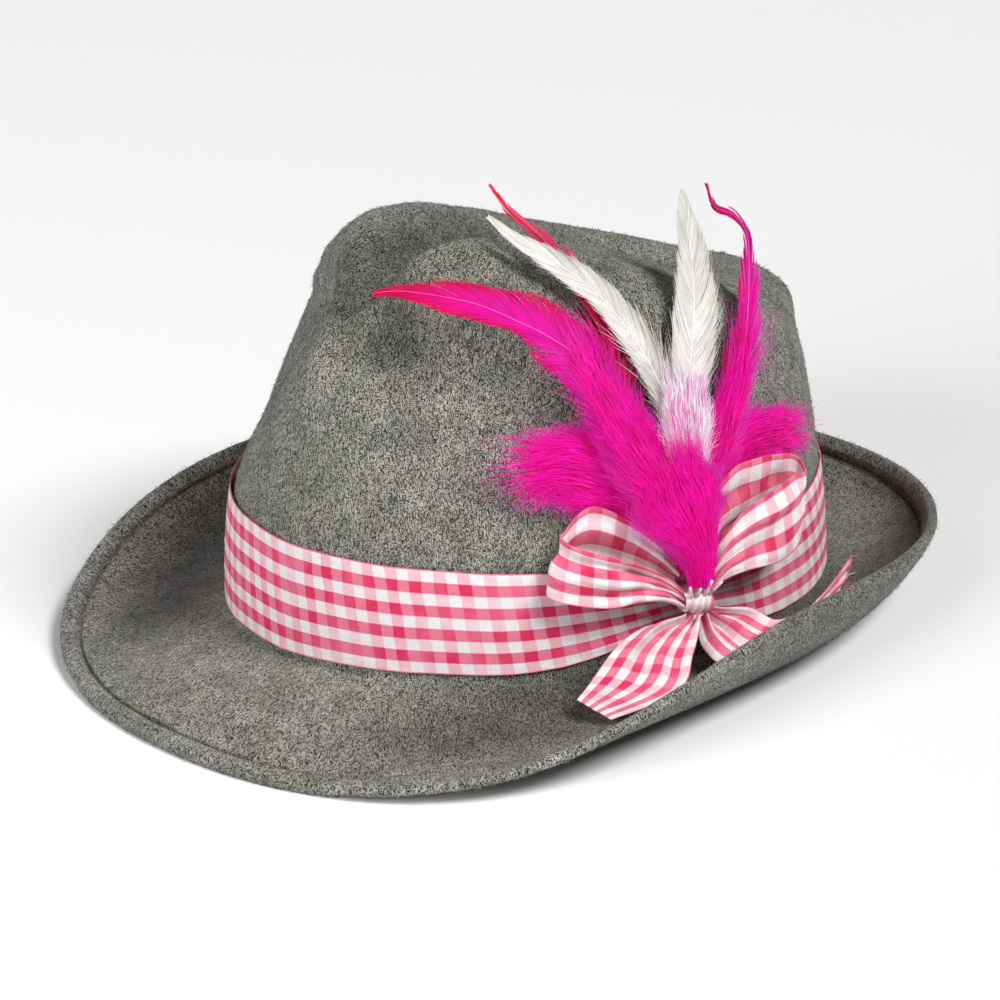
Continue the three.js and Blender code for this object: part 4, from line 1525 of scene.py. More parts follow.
        side, brim = self.on_side, self.on_brim
        left = [side(-0.12, -0.15, 0.2), side(-0.42, -0.12, 0.22), side(-0.72, -0.2, 0.36),
                side(-0.92, -0.37, 0.47), side(-1.06, -0.52, 0.53)]
        right = [side(0.03, -0.15, 0.22), side(-0.05, -0.24, 0.32), side(-0.18, -0.34, 0.46),
                 brim(-0.42, 0.66, 0.1), brim(-0.87, 0.54, 0.05)]
        folds = (Fold(0.42, 0.55, (0.3, 0.09), 1.5), Fold(0.35, 0.2, (0.25, 0.08), -1.0))
        self.tail("bow_tail_front", left, right, folds, material)
        left = [side(0.05, -0.15, 0.22), side(0.0, -0.33, 0.32), brim(0.06, 0.5, 0.12),
                brim(0.3, 0.6, 0.06), brim(0.72, 0.62, 0.06), brim(1.06, 0.66, 0.08)]
        right = [side(0.16, -0.13, 0.18), side(0.46, -0.18, 0.3), side(0.56, -0.26, 0.48),
                 side(0.7, -0.22, 0.58), side(0.95, -0.11, 0.62), side(1.25, 0.03, 0.64)]
        folds = (Fold(0.25, 0.5, (0.2, 0.12), 1.4), Fold(0.8, 0.5, (0.3, 0.12), 1.2))
        end = self.tail("bow_tail_back", left, right, folds, material)
        self.knot(material)
        ahead = end.mean(0) - (np.array(left[-2]) + np.array(right[-2])) / 2
        threads_skin = self.frayed(end, ahead, 60, 31)
        threads_skin.build("bow_tail_threads", self.rest, threads, Slot.GINGHAM)


Plume = tuple[tuple[float, float, float, float], ...]


class Side(Enum):
    """The two sides of a vane."""

    UPPER = 1
    LOWER = -1


@dataclass(frozen=True)
class PlumePath:
    """The spine of a feather or of a clump of down, from its tip to its quill.

    Attributes:
        form: the hat that it lies on.
        rows: angle around the hat, height as a share of the crown's, and the upper and lower width as
            shares of full_width.
        lift: how far it lies off the crown, in millimetres.
        full_width: the width that the shares are of.
        count: how many stations it is worked out at.
    """

    form: HatForm
    rows: Plume
    lift: float
    full_width: float = 12
    count: int = 320

    def column(self, number: int) -> Array:
        """One column of the table at every station."""
        place = np.linspace(0, len(self.rows) - 1, self.count)
        return curve_through([row[number] for row in self.rows], place)

    def widths(self, side: Side) -> Array:
        """Width of one side at every station."""
        return self.column(2 if side is Side.UPPER else 3) * self.full_width

    def centre(self, lift: float) -> Array:
        """The line at a lift off the crown."""
        return self.form.side_point(self.column(0), self.column(1) * self.form.crown_height, lift)

    def lengths(self) -> Array:
        """Length from the tip to each station."""
        steps = np.linalg.norm(np.diff(self.centre(self.lift), axis=0), axis=1)
        return np.concatenate([[0], np.cumsum(steps)])

    def at(self, length: Array, values: Array) -> Array:
        """Reads values of the stations at lengths from the tip.

        Args:
            length: the lengths, in any shape.
            values: a row for each station.

        Returns:
            The values, with one more axis where the stations have columns.
        """
        lengths = self.lengths()
        if values.ndim == 1:
            return np.interp(length, lengths, values)
        return np.stack([np.interp(length, lengths, column) for column in values.T], -1)

    def guides(self) -> tuple[Array, Array, Array]:
        """Finds the line with its directions.

        Returns:
            The line, the outward direction and the direction of the upper side, at each station.
        """
        line = self.centre(self.lift)
        away = unit(self.centre(self.lift + 1) - line)
        ahead = np.gradient(line, axis=0)
        return line, away, unit(np.cross(away, ahead))


@dataclass(frozen=True)
class Dye:
    """Colours of a vane, from the tip to the quill and from the shaft to the edge.

    Attributes:
        tip: at the tip.
        body: over most of the vane.
        root: near the quill.
        upper_edge: along the edge of the upper side.
        lower_edge: along the edge of the lower side.
        shaft: of the shaft.
        centre: beside the shaft.
        centre_share: how much of the centre colour shows there.
        edge_to: how far from the tip the edges keep their own colours.
    """

    tip: Colour
    body: Colour
    root: Colour
    upper_edge: Colour
    lower_edge: Colour
    shaft: Colour
    centre: Colour
    centre_share: float = 0.0
    edge_to: float = 1.0

    def at(self, side: Side, along: Array, across: Array, tone: Array) -> Array:
        """Colours points of a vane.

        Args:
            side: which side they are on.
            along: 0 at the tip, 1 at the quill.
            across: 0 at the shaft, 1 at the edge.
            tone: lightness of each point's barb, about 1.

        Returns:
            Linear colours.
        """
        edge = self.upper_edge if side is Side.UPPER else self.lower_edge
        colour = mix(self.tip, self.body, rising(along, 0, 0.3)[..., None])
        colour = mix(colour, self.root, rising(along, 0.62, 0.3)[..., None])
        edged = rising(across, 0.35, 0.6) * 0.8 * (1 - rising(along, self.edge_to, 0.12))
        colour = mix(colour, edge, edged[..., None])
        near = (1 - rising(across, 0, 0.34))[..., None] * self.centre_share
        return np.clip(mix(colour, self.centre, near) * tone[..., None], 0, 1)


@dataclass
class Feather:
    """A feather of single barbs on a shaft."""

    name: str
    path: PlumePath
    dye: Dye
    slot: Slot
    seed: int
    spacing: float = 0.15
    barb_width: float = 0.34
    sweep: float = 15.0
    cup: float = 1.0
    lock_size: tuple[int, int] = (14, 70)
    raggedness: float = 0.12
    looseness: float = 0.4
    shaft_radius: float = 0.32
    fluff_from: float = 0.5

    def barbs(self, side: Side, rng: np.random.Generator) -> Skin:
        """Makes the barbs of one side, gathered in locks.

        Args:
            side: which side of the shaft.
            rng: picks what varies.

        Returns:
            The barbs.
        """
        lengths = self.path.lengths()
        total = lengths[-1]
        line, away, up = self.path.guides()
        widths = self.path.widths(side)
        roots = np.arange(0.6, total * 0.95, self.spacing)
        roots = roots + rng.normal(0, self.spacing * 0.4, len(roots))
        count = len(roots)

        edges = [0]
        while edges[-1] < count:
            edges.append(edges[-1] + int(rng.integers(*self.lock_size)))
        lock = np.searchsorted(np.array(edges[1:]), np.arange(count), side="right")
        locks = int(lock.max()) + 1
        lock_middle = np.array([roots[lock == i].mean() for i in range(locks)])[lock]
        lock_reach = rng.uniform(1 - self.raggedness, 1.04, locks)[lock]
        lock_lift = rng.normal(0, 0.25, locks)[lock]
        gather = rng.uniform(0, 0.9, locks)[lock] * self.raggedness * 2

        loose = rising(roots / total, self.fluff_from, 0.2) * self.looseness
        sweep = self.sweep * rng.normal(1, 0.03, count) * (1 - 0.45 * loose)
        gathered = mix(roots, lock_middle, gather)
        tip = np.maximum(gathered - sweep * (1 - np.exp(-gathered / sweep)), 0)
        reach = np.interp(tip, lengths, widths) * lock_reach * rng.normal(1, 0.03 + 0.12 * loose, count)
        hairy = rng.random(count) < 0.14
        reach = np.maximum(reach * np.where(hairy, rng.uniform(1.04, 1.3, count), 1), 0.12)

        t = np.linspace(0, 1, 7)[None, :]
        where = mix(roots[:, None], tip[:, None], t ** 1.15)
        spread = reach[:, None] * (1 - (1 - t) ** 1.3)
        outward = self.path.at(where, away)
        stray = 0.06 + 1.3 * loose[:, None]
        wave = rng.normal(0, stray, (count, 1)) * np.sin(
            t * rng.uniform(2, 5, (count, 1)) + rng.uniform(0, 6, (count, 1))) * t
        rise = (self.cup * (spread / max(widths.max(), 1)) ** 2 + lock_lift[:, None] * t ** 2 + 0.2
                + np.abs(rng.normal(0, stray, (count, 1))) * t)
        paths = (self.path.at(where, line) + outward * rise[..., None]
                 + unit(self.path.at(where, up)) * (side.value * (spread + wave))[..., None])
        ahead = unit(np.gradient(paths, axis=1))
        flat = unit(np.cross(outward, ahead) + outward * rng.normal(0, 0.25, (count, 1, 1)))
        taper = np.array([[1.0, 1.0, 0.95, 0.9, 0.75, 0.55, 0.15]])
        strip_widths = self.barb_width * (1 - 0.45 * loose[:, None])
        strip_widths = strip_widths * np.where(hairy[:, None], 0.6, 1) * taper
        tone = rng.normal(1, 0.09, (count, 1)) * rng.normal(1, 0.05, locks)[lock][:, None]
        across = np.clip(spread / np.maximum(np.interp(where, lengths, widths), 0.3), 0, 1)
        colour = self.dye.at(side, where / total, across, np.clip(tone, 0.5, 1.4))
        return strands(paths, flat, strip_widths, colour)

    def strays(self, rng: np.random.Generator) -> Skin:
        """Makes long loose barbs that curl away over the lower half."""
        total = self.path.lengths()[-1]
        line, away, up = self.path.guides()
        count = int(240 * self.looseness)
        root = total * rng.uniform(self.fluff_from, 0.97, count)
        t = np.linspace(0, 1, 8)[None, :]
        side = rng.choice([-1.0, 1.0], count)[:, None]
        width = np.interp(root, self.path.lengths(), self.path.widths(Side.UPPER))
        reach = (width * rng.uniform(0.8, 1.3, count) + rng.uniform(1, 5, count))[:, None]
        where = np.clip(root[:, None] - rng.uniform(8, 24, (count, 1)) * t, 0, total)
        curl = rng.uniform(0.2, 1.2, (count, 1)) * np.sin(t * rng.uniform(2, 6, (count, 1))
                                                         + rng.uniform(0, 6, (count, 1))) * t
        rise = 0.4 + rng.uniform(0.2, 2.6, (count, 1)) * t ** 1.5
        aside = side * reach * t ** 0.9 + curl
        outward = self.path.at(where, away)
        paths = (self.path.at(where, line) + self.path.at(where, up) * aside[..., None]
                 + outward * rise[..., None])
        flat = unit(np.cross(outward, unit(np.gradient(paths, axis=1))))
        widths = 0.17 * np.array([[1, 1, 0.95, 0.9, 0.85, 0.7, 0.5, 0.2]]) * np.ones((count, 1))
        tone = rng.normal(1.0, 0.12, (count, 1))
        colour = self.dye.at(Side.UPPER, where / total, t, tone)
        return strands(paths, flat, widths, colour)

    def build(self, rest: Rest, material: Material) -> None:
        """Makes the feather.

        Args:
            rest: how the hat stands.
            material: its finish.
        """
        rng = np.random.default_rng(self.seed)
        line, away, _ = self.path.guides()
        picked = np.linspace(2, len(line) - 1, 60).astype(int)
        radii = self.shaft_radius * (0.22 + 0.78 * np.linspace(0, 1, 60) ** 0.8)
        shaft = tube(line[picked] + away[picked] * 0.35, radii, self.dye.shaft)
        skins = [shaft, self.barbs(Side.UPPER, rng), self.barbs(Side.LOWER, rng), self.strays(rng)]
        piece = joined(skins).build(self.name + "_barbs", rest, material, self.slot)
        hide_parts(self.name)


@dataclass
class Down:
    """A clump of soft fibres that stream out from a feather's foot."""

    name: str
    path: PlumePath
    colours: tuple[Colour, ...]
    slot: Slot
    seed: int
    thickness: float
    streams: int
    fuzz: int
    packed: bool = True
    wisps: Colour = linear(196, 60, 170)
    stream_length: Span = (6.0, 15.0)
    stream_width: float = 0.2
    fuzz_width: float = 0.12
    core_share: float = 0.5

    def core(self) -> Skin:
        """Makes the dense middle, coloured darker as painted shade inside the clump."""
        count = 34
        picked = np.linspace(24, self.path.count - 1, count).astype(int)
        line, away, up = (one[picked] for one in self.path.guides())
        upper, lower = (self.path.widths(side)[picked] * self.core_share for side in Side)
        closing = np.minimum(1, np.minimum(np.arange(count), np.arange(count)[::-1]) / 8)[:, None] ** 0.5
        turn = np.arange(16) * math.pi / 8
        across = np.where(np.cos(turn) > 0, upper[:, None], lower[:, None]) * np.cos(turn) * closing
        thick = self.thickness / 5 * np.sin(turn) * closing
        rings = line[:, None] + up[:, None] * across[..., None] + away[:, None] * thick[..., None]
        points, faces = Skin.body(rings, rings[0].mean(0), rings[-1].mean(0))
        # Painted shade: the core is coloured darker than the fibres.
        dark = np.array(self.colours[0]) * 0.85
        return Skin(points, faces, None, np.tile(dark, (len(points), 1)))

    def half_width(self, where: Array, across: Array) -> Array:
        """Half the clump's width at lengths from the tip, on the side that across is on."""
        lengths = self.path.lengths()
        upper, lower = (np.interp(where, lengths, self.path.widths(side)) for side in Side)
        return np.where(across > 0, upper, lower)

    def sway(self, rng: np.random.Generator, t: Array, count: int) -> Array:
        """A slow wave along each fibre, nothing at its root."""
        size, pace, start = (rng.uniform(*span, (count, 1)) for span in ((0.15, 0.9), (2, 5), (0, 6.28)))
        return size * np.sin(t * pace + start) * t

    def tint(self, rng: np.random.Generator, roots: Array) -> Array:
        """Picks each fibre's colour, in patches."""
        palette = np.array(self.colours)
        patch = 0.5 + 0.5 * np.sin(roots @ np.array([0.5, 0.4, 0.45])
                                   + 2 * np.sin(roots @ np.array([-0.2, 0.3, 0.5])))
        pick = (patch * len(palette)).astype(int) + rng.integers(-1, 2, len(roots))
        return palette[np.clip(pick, 0, len(palette) - 1)]

    def stream_paths(self, rng: np.random.Generator) -> tuple[Array, Array, Array, Array]:
        """Lays fibres from the foot outwards, past the clump's edge and tip.

        Args:
            rng: picks what varies.

        Returns:
            Their paths, the outward directions, how near the edge each lies and how deep.
        """
        total = self.path.lengths()[-1]
        line, away, up = self.path.guides()
        count = self.streams
        t = np.linspace(0, 1, 6)[None, :]
        root = total * rng.uniform(0.0, 1.0, (count, 1)) ** 0.72
        across = rng.uniform(-1, 1, (count, 1))
        across = np.sign(across) * np.abs(across) ** 0.8
        depth = rng.random((count, 1)) ** 0.5
        edge = np.maximum(np.abs(across), 1 - root / (0.25 * total))
        near_tip = smooth(1 - root / (0.4 * total))
        length = rng.uniform(*self.stream_length, (count, 1))
        length = length * np.where(edge > 0.8, rng.uniform(0.6, 1.9, (count, 1)), 1)
        where = root - length * t
        half = np.maximum(self.half_width(where, across), 0.8 * self.half_width(root, across))
        fan = 1 + (0.5 * edge + 0.9 * near_tip) * t ** 1.4 * rng.random((count, 1))
        aside = half * across * fan + self.sway(rng, t, count)
        bulge = self.thickness / 2 * depth * np.sqrt(1.02 - across ** 2) * (1 - 0.35 * t)
        bulge = bulge + 0.5 * self.sway(rng, t, count)
        inside = np.clip(where, 0, total)
        outward = self.path.at(inside, away)
        paths = (self.path.at(inside, line) + self.path.at(inside, up) * aside[..., None]
                 + outward * bulge[..., None]
                 + unit(line[1] - line[0]) * np.minimum(where, 0)[..., None])
        return paths, outward, edge, depth

    def fibres(self) -> list[Skin]:
        """Makes the streaming fibres and the short fuzz that grows on them."""
        rng = np.random.default_rng(self.seed)
        paths, outward, edge, depth = self.stream_paths(rng)
        count = self.streams
        t = np.linspace(0, 1, 6)[None, :, None]
        flat = np.cross(outward, np.gradient(paths, axis=1)) + outward * rng.normal(0, 0.5, (count, 1, 1))
        taper = np.array([[0.6, 1.0, 1.0, 0.85, 0.55, 0.12]])
        widths = self.stream_width * rng.uniform(0.7, 1.3, (count, 1)) * np.where(edge > 0.8, 0.55, 1) * taper
        wispy = rising(edge, 0.72, 0.3)[:, None] * t ** 1.2
        # Painted shade: each fibre is darker towards its root and deeper in the clump.
        tone = rng.normal(1, 0.035, (count, 1, 1)) * mix(0.94, 1.03, t) * mix(0.88, 1.03, depth)[:, None]
        colour = mix(self.tint(rng, paths[:, 0])[:, None], self.wisps, wispy) * tone
        streams = strands(paths, unit(flat), widths, np.clip(colour, 0, 1))

        count = self.fuzz
        stream = rng.integers(0, self.streams, count)
        place = rng.random(count) * 4.999
        low = place.astype(int)
        first, second = paths[stream, low], paths[stream, low + 1]
        base = mix(first, second, (place - low)[:, None])
        ahead = unit(second - first)
        away = unit(ahead + 0.8 * unit(np.cross(ahead, rng.normal(0, 1, (count, 3)))))
        bend = rng.normal(0, 0.45, (count, 3))
        t = np.linspace(0, 1, 4)[None, :, None]
        length = rng.uniform(1.6, 4.5, (count, 1, 1))
        short = base[:, None] + length * (away[:, None] * t + bend[:, None] * t ** 2 * 0.5)
        flat = np.repeat(unit(np.cross(away, rng.normal(0, 1, (count, 3))))[:, None], 4, axis=1)
        widths = self.fuzz_width * np.array([[1.0, 0.9, 0.6, 0.15]]) * np.ones((count, 1))
        wispy = rising(edge[stream], 0.6, 0.4)[:, None] * (0.3 + 0.7 * t)
        # Painted shade: the fuzz is darker at its root.
        colour = mix(self.tint(rng, base)[:, None], self.wisps, wispy) * mix(0.9, 1.05, t)
        return [streams, strands(short, flat, widths, np.clip(colour, 0, 1))]

    def build(self, rest: Rest, material: Material) -> None:
        """Makes the clump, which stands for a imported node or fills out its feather's foot."""
        piece = joined([self.core(), *self.fibres()]).build(self.name + "_fibres", rest, material, self.slot)
        if self.packed:
            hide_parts(self.name)


@dataclass
class Plumage:
    """The bunch of feathers and down held under the bow. Millimetres, degrees and shares."""

    form: HatForm
    rest: Rest
    clearance: float = 0.3
    ribbon_wall: float = 1.0
    under_down: float = 2.2
    outer_down: float = 5.0
    feather_wall: float = 1.1
    feather_layer: float = 1.5
    pink_long: Plume = (
        (14.5, 1.0, 0.07, 0.07), (20, 1.01, 0.15, 0.17), (28, 1.0, 0.35, 0.36), (37, 0.975, 0.5, 0.42),
        (46, 0.93, 0.75, 0.3), (53, 0.89, 0.72, 0.72), (60, 0.83, 0.6, 0.75), (67, 0.69, 0.6, 0.65),
        (74.5, 0.5, 0.5, 0.5), (79.8, 0.37, 0.25, 0.25), (80.6, 0.27, 0.06, 0.06),
    )
    red_hackle: Plume = (
        (33, 1.27, 0.04, 0.04), (39.5, 1.2, 0.1, 0.1), (45, 1.155, 0.16, 0.14), (53, 1.09, 0.25, 0.2),
        (60, 1.0, 0.32, 0.28), (64, 0.93, 0.34, 0.3), (67.5, 0.82, 0.3, 0.3), (72.5, 0.6, 0.22, 0.22),
        (78.4, 0.4, 0.07, 0.07), (79.6, 0.27, 0.06, 0.06),
    )
    white_hackle: Plume = (
        (34.5, 1.19, 0.04, 0.04), (43, 1.125, 0.18, 0.18), (53, 1.065, 0.32, 0.28), (63, 0.99, 0.42, 0.36),
        (70.5, 0.89, 0.46, 0.4), (76, 0.78, 0.42, 0.38), (79.5, 0.66, 0.28, 0.28), (80.5, 0.47, 0.1, 0.1),
        (80.2, 0.27, 0.06, 0.06),
    )
    white_plume: Plume = (
        (85.3, 1.215, 0.05, 0.05), (86, 1.13, 0.36, 0.34), (86.7, 1.04, 0.58, 0.52), (86.5, 0.93, 0.72, 0.66),
        (85, 0.81, 0.66, 0.62), (83, 0.68, 0.38, 0.38), (81.8, 0.47, 0.08, 0.08), (81.4, 0.27, 0.06, 0.06),
    )
    pink_curl: Plume = (
        (92, 1.215, 0.04, 0.04), (94, 1.15, 0.11, 0.11), (100, 1.11, 0.15, 0.13), (104, 1.05, 0.19, 0.17),
        (103, 0.97, 0.36, 0.34), (101, 0.885, 0.52, 0.5), (98, 0.79, 0.58, 0.58), (92, 0.665, 0.52, 0.52),
        (86, 0.5, 0.34, 0.3), (82.8, 0.4, 0.16, 0.16), (81.9, 0.27, 0.06, 0.06),
    )
    down_front: Plume = (
        (53, 0.575, 0.35, 0.35), (57, 0.58, 0.8, 0.75), (62, 0.565, 0.95, 0.95), (67.5, 0.53, 0.95, 0.85),
        (73, 0.475, 0.85, 0.6), (78.5, 0.38, 0.4, 0.3), (80, 0.25, 0.2, 0.2),
    )
    down_back: Plume = (
        (117, 0.505, 0.3, 0.3), (112, 0.52, 0.55, 0.55), (105, 0.54, 0.65, 0.65), (98, 0.55, 0.7, 0.7),
        (91, 0.52, 0.65, 0.6), (84.5, 0.4, 0.3, 0.3), (83, 0.25, 0.15, 0.15),
    )
    down_centre: Plume = (
        (76.5, 0.54, 0.5, 0.6), (77.5, 0.5, 1.0, 1.3), (78.8, 0.45, 1.05, 1.25), (80, 0.39, 0.76, 0.85),
        (81, 0.32, 0.5, 0.5), (81, 0.225, 0.38, 0.36),
    )
    down_white: Plume = (
        (81.5, 0.75, 0.3, 0.3), (81.2, 0.7, 0.62, 0.68), (81, 0.64, 0.66, 0.68), (80.8, 0.57, 0.55, 0.55),
        (81, 0.52, 0.5, 0.46), (81.2, 0.475, 0.22, 0.22),
    )
    fluff_long: Plume = (
        (61, 0.82, 0.15, 0.15), (66, 0.72, 0.5, 0.5), (70.5, 0.62, 0.75, 0.75), (75, 0.51, 0.85, 0.85),
        (78.5, 0.41, 0.7, 0.7), (80.5, 0.27, 0.25, 0.25),
    )
    fluff_curl: Plume = (
        (98, 0.8, 0.15, 0.15), (94.5, 0.71, 0.4, 0.4), (90.5, 0.62, 0.6, 0.5), (86.5, 0.51, 0.65, 0.5),
        (83.5, 0.41, 0.5, 0.45), (82, 0.27, 0.25, 0.25),
    )

    def under_lift(self) -> float:
        """How far the middle of the lower down lies off the crown."""
        return 2 * self.clearance + self.ribbon_wall + self.under_down / 2

    def feather_lift(self, layer: int) -> float:
        """How far a layer of feathers lies off the crown, layer 0 closest."""
        over_down = self.under_lift() + self.under_down / 2 + self.clearance
        return over_down + self.feather_wall / 2 + layer * self.feather_layer

    def over_lift(self, layer: int) -> float:
        """How far the middle of the outer down lies off the crown, over a layer of feathers."""
        return self.feather_lift(layer) + self.feather_wall / 2 + self.clearance + self.outer_down / 2

    def feathers(self) -> list[Feather]:
        """Lists the five feathers with their dyes."""
        magenta, red, lilac = linear(214, 0, 150), linear(196, 0, 62), linear(206, 70, 172)
        crimson, bronze, salmon = linear(196, 0, 74), linear(104, 62, 40), linear(236, 90, 110)
        white, grey, stain = linear(215, 212, 207), linear(200, 196, 190), linear(228, 162, 198)
        shaft = linear(240, 84, 176)
        pink_dye = Dye(red, magenta, magenta, red, red, shaft, magenta, 0.0, 0.36)
        curl_dye = Dye(linear(190, 0, 96), magenta, magenta, lilac, red, shaft, magenta)
        hackle_dye = Dye(salmon, crimson, magenta, linear(228, 40, 110), crimson, crimson, bronze, 0.6)
        white_dye = Dye(white, white, stain, grey, white, linear(240, 236, 230), white)

        def path(rows: Plume, layer: int) -> PlumePath:
            return PlumePath(self.form, rows, self.feather_lift(layer))

        return [
            Feather("feather_pink_long", path(self.pink_long, 2), pink_dye, Slot.PINK, 41, looseness=0.9),
            Feather("feather_red_hackle", path(self.red_hackle, 0), hackle_dye, Slot.CRIMSON, 42, spacing=0.2,
                    raggedness=0.4, looseness=0.8),
            Feather("feather_white_hackle", path(self.white_hackle, 1), white_dye, Slot.WHITE, 43, sweep=14,
                    raggedness=0.16, looseness=0.4),
            Feather("feather_white_plume", path(self.white_plume, 0), white_dye, Slot.WHITE, 44, sweep=17,
                    looseness=0.3, fluff_from=0.66),
            Feather("feather_pink_curl", path(self.pink_curl, 1), curl_dye, Slot.PINK, 45, sweep=18,
                    raggedness=0.35, looseness=0.6),
        ]

    def downs(self) -> list[Down]:
        """Lists the four packed clumps of down, and two that fill out the feet of pink feathers."""
        pinks = (linear(220, 0, 132), linear(225, 0, 142), linear(227, 0, 150), linear(226, 0, 158),
                 linear(228, 10, 164))
        whites = (linear(222, 216, 222), linear(228, 222, 226), linear(230, 224, 228), linear(224, 204, 220),
                  linear(230, 140, 198))
        under = self.under_lift()

        def pink(name: str, rows: Plume, lift: float, *sizes: float, packed: bool = True) -> Down:
            return Down(name, PlumePath(self.form, rows, lift), pinks, Slot.PINK, *sizes, packed=packed)

        return [
            pink("down_pink_front", self.down_front, under, 51, 7.0, 4200, 3500),
            pink("down_pink_back", self.down_back, under, 52, 5.0, 2600, 2200),
            pink("down_pink_centre", self.down_centre, self.over_lift(2), 53, 7.0, 4000, 3500),
            Down("down_white", PlumePath(self.form, self.down_white, self.over_lift(1)), whites, Slot.WHITE,
                 54, 4.0, 1500, 900, wisps=linear(232, 190, 216), stream_length=(5.0, 11.0)),
            pink("down_long", self.fluff_long, self.feather_lift(2) + 0.6, 55, 4.0, 3200, 2500, packed=False),
            pink("down_curl", self.fluff_curl, self.feather_lift(1) + 0.6, 56, 4.0, 1800, 1500, packed=False),
        ]

    def quill_ends(self, material: Material) -> None:
        """Makes the pale cut ends of the quills, which stand out over the knot."""
        rods = []
        for along, up, length in ((-3.4, 2.4, 3.6), (-1.2, 2.6, 2.4), (1.4, 2.2, 4.4), (3.6, 2.6, 3.0)):
            ends = [self.form.bow_point(along, up, 12.0), self.form.bow_point(along * 1.5, up + length, 14.6)]
            path = mix(ends[0], ends[1], np.linspace(0, 1, 5)[:, None])
            rods.append(tube(path, np.linspace(0.62, 0.45, 5), linear(238, 206, 216), 8))
        joined(rods).build("quill_ends", self.rest, material, Slot.WHITE)

    def build(self, feather: Material, down: Material) -> None:
        """Makes all feathers and down.

        Args:
            feather: the finish of barbs.
            down: the finish of down.
        """
        for one in self.feathers():
            one.build(self.rest, feather)
        for one in self.downs():
            one.build(self.rest, down)
        self.quill_ends(feather)


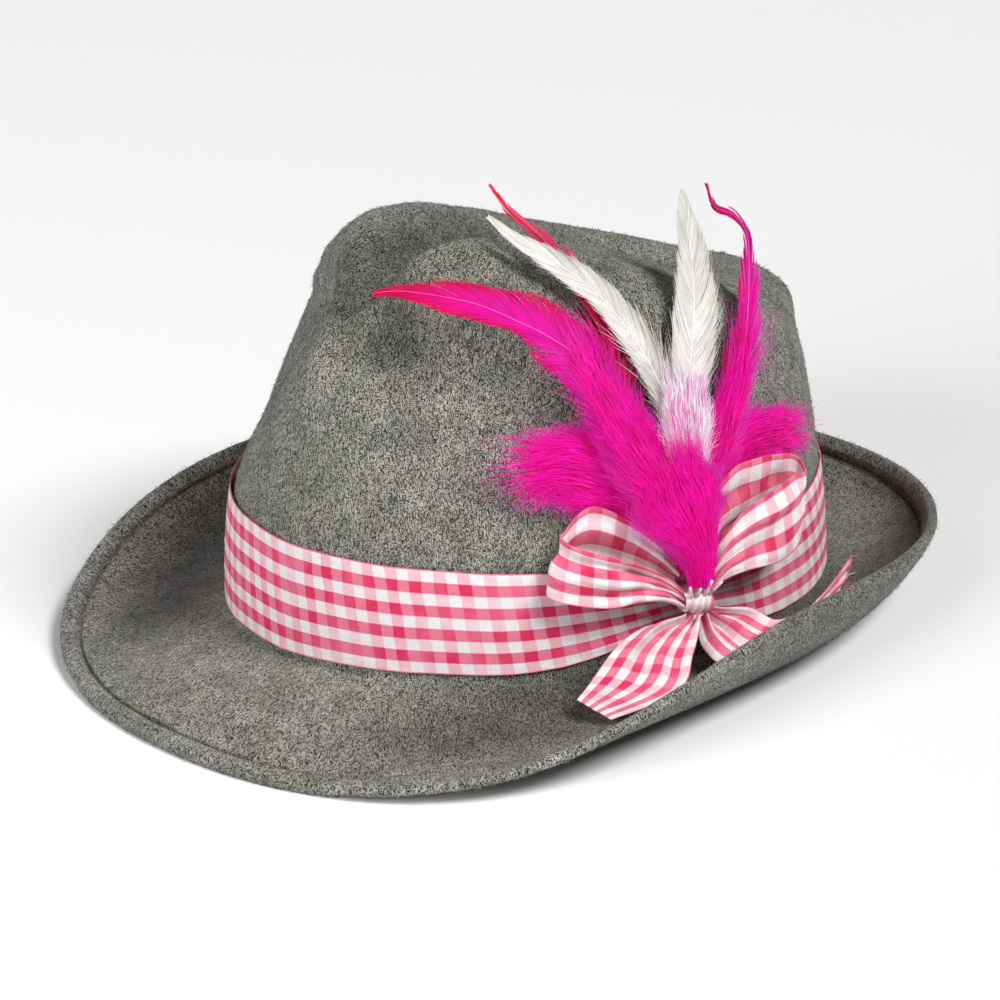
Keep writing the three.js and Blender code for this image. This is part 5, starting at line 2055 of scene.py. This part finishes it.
@dataclass
class Studio:
    """The camera, the pale floor and the soft lights.

    Angles are in degrees, around the hat from its front and over it. The camera's distance and target are
    in millimetres, and its focal length is in pixels of a picture photo_px wide. The floor and the lights
    are measured in metres, and a light's place is its two angles and its distance.
    """

    rest: Rest
    azimuth: float = 48.405
    elevation: float = 19.592
    roll: float = -0.348
    distance: float = 1438.9
    focal_px: float = 4560.4
    target: tuple[float, float, float] = (0, 0, 45)
    target_px: Span = (527.84, 440.28)
    photo_px: float = 1000
    sensor: float = 36
    floor_size: float = 6.0
    floor_colour: Colour = linear(246, 246, 246)
    world_colour: Colour = linear(240, 240, 242)
    world_strength: float = 0.1
    key_place: tuple[float, float, float] = (104, 47, 2)
    key_power: float = 3.2
    key_softness: float = 24
    fill_place: tuple[float, float, float] = (4, 25, 1.8)
    fill_power: float = 20
    fill_size: float = 1.0

    @staticmethod
    def facing(azimuth: float, elevation: float) -> Array:
        """Right, up and backward directions of something that faces the hat."""
        turn, rise = azimuth * DEGREES, elevation * DEGREES
        back = np.array([math.sin(turn) * math.cos(rise), -math.cos(turn) * math.cos(rise), math.sin(rise)])
        right = np.array([math.cos(turn), math.sin(turn), 0])
        return np.array([right, np.cross(back, right), back])

    @staticmethod
    def put(name: str, data: bpy.types.ID, axes: Array, place: Array) -> Piece:
        """Adds an object to the scene.

        Args:
            name: its name.
            data: its camera or light.
            axes: its right, up and backward directions.
            place: where it stands, in metres.

        Returns:
            The object.
        """
        thing = bpy.data.objects.new(name, data)
        thing.matrix_world = Matrix([[*axes[:, i], place[i]] for i in range(3)] + [[0, 0, 0, 1]])
        bpy.context.scene.collection.objects.link(thing)
        return thing

    def camera(self) -> None:
        """Places the camera so that the target falls where it does in the photograph."""
        level_right, level_up, back = self.facing(self.azimuth, self.elevation)
        cos, sin = math.cos(self.roll * DEGREES), math.sin(self.roll * DEGREES)
        right, up = cos * level_right + sin * level_up, cos * level_up - sin * level_right
        aside = (self.target_px[0] - self.photo_px / 2) / self.focal_px
        above = -(self.target_px[1] - self.photo_px / 2) / self.focal_px
        eye = np.array(self.target) - unit(right * aside + up * above - back) * self.distance
        data = bpy.data.cameras.new("photo_camera")
        data.sensor_width = self.sensor
        data.lens = self.focal_px / self.photo_px * self.sensor
        data.clip_end = 30
        turned = self.rest.turn(np.array([right, up, back]))
        place = self.rest.place(eye[None])[0] * MILLIMETRE
        bpy.context.scene.camera = self.put("photo_camera", data, turned, place)

    def lamp(self, kind: str, place: tuple[float, float, float], power: float) -> Piece:
        """Hangs a light that faces the hat.

        Args:
            kind: its type, which is also its name.
            place: its azimuth, its elevation and its distance in metres.
            power: its strength.

        Returns:
            The light.
        """
        azimuth, elevation, distance = place
        axes = self.facing(azimuth, elevation)
        eye = axes[2] * distance + np.array([0, 0, self.target[2] * MILLIMETRE])
        light = bpy.data.lights.new(kind.lower(), kind)
        light.energy = power
        return self.put(kind.lower(), light, axes, eye)

    def floor(self) -> Piece:
        """Lays a plain, flat, pale floor."""
        half = self.floor_size / 2
        points = [(-half, -half, 0), (half, -half, 0), (half, half, 0), (-half, half, 0)]
        mesh = bpy.data.meshes.new("floor")
        mesh.from_pydata(points, [], [(0, 1, 2, 3)])
        _, shader, material = Finish.start("pale floor", Roughness=0.9, Specular_IOR_Level=0.1)
        shader.inputs["Base Color"].default_value = Finish.rgba(self.floor_colour)
        mesh.materials.append(material)
        floor = bpy.data.objects.new("floor", mesh)
        bpy.context.scene.collection.objects.link(floor)
        return floor

    def build(self) -> None:
        """Sets up the whole studio."""
        scene = bpy.context.scene
        world = bpy.data.worlds.new("pale room")
        world.use_nodes = True
        background = world.node_tree.nodes["Background"]
        background.inputs["Color"].default_value = Finish.rgba(self.world_colour)
        background.inputs["Strength"].default_value = self.world_strength
        scene.world = world
        scene.view_settings.view_transform = "Standard"
        scene.view_settings.look = "None"
        self.camera()
        key = self.lamp("SUN", self.key_place, self.key_power)
        key.data.angle = self.key_softness * DEGREES
        fill = self.lamp("AREA", self.fill_place, self.fill_power)
        fill.data.size = self.fill_size
        self.floor()


def main() -> None:
    """Builds the hat and its studio."""
    logging.basicConfig(level=logging.INFO, format="%(name)s: %(message)s")
    form = HatForm()
    felt = FeltBody(form)
    wool = FeltFinish().build()
    felt.build(wool)
    Nap(felt).build(FibreFinish("wool nap", unevenness=0.1, sheen=0.3).build())
    log.info("felt rests at %.3f degrees, %.2f mm up", felt.rest.pitch / DEGREES, felt.rest.lift)
    gingham = GinghamFinish(lean=0.15).build()
    RibbonBand(form).build(felt.rest, gingham)
    threads = FibreFinish("loose threads", unevenness=0.1).build()
    Bow(form, felt.rest).build(GinghamFinish("bow gingham").build(), threads)
    # Barbs and down get a painted glow from emission.
    barbs = FibreFinish("feather barbs", sheen=0.05, glow=0.03).build()
    down = FibreFinish("feather down", sheen=0.0, glow=0.12).build()
    Plumage(form, felt.rest).build(barbs, down)
    Studio(felt.rest).build()


if __name__ == "__main__":
    main()
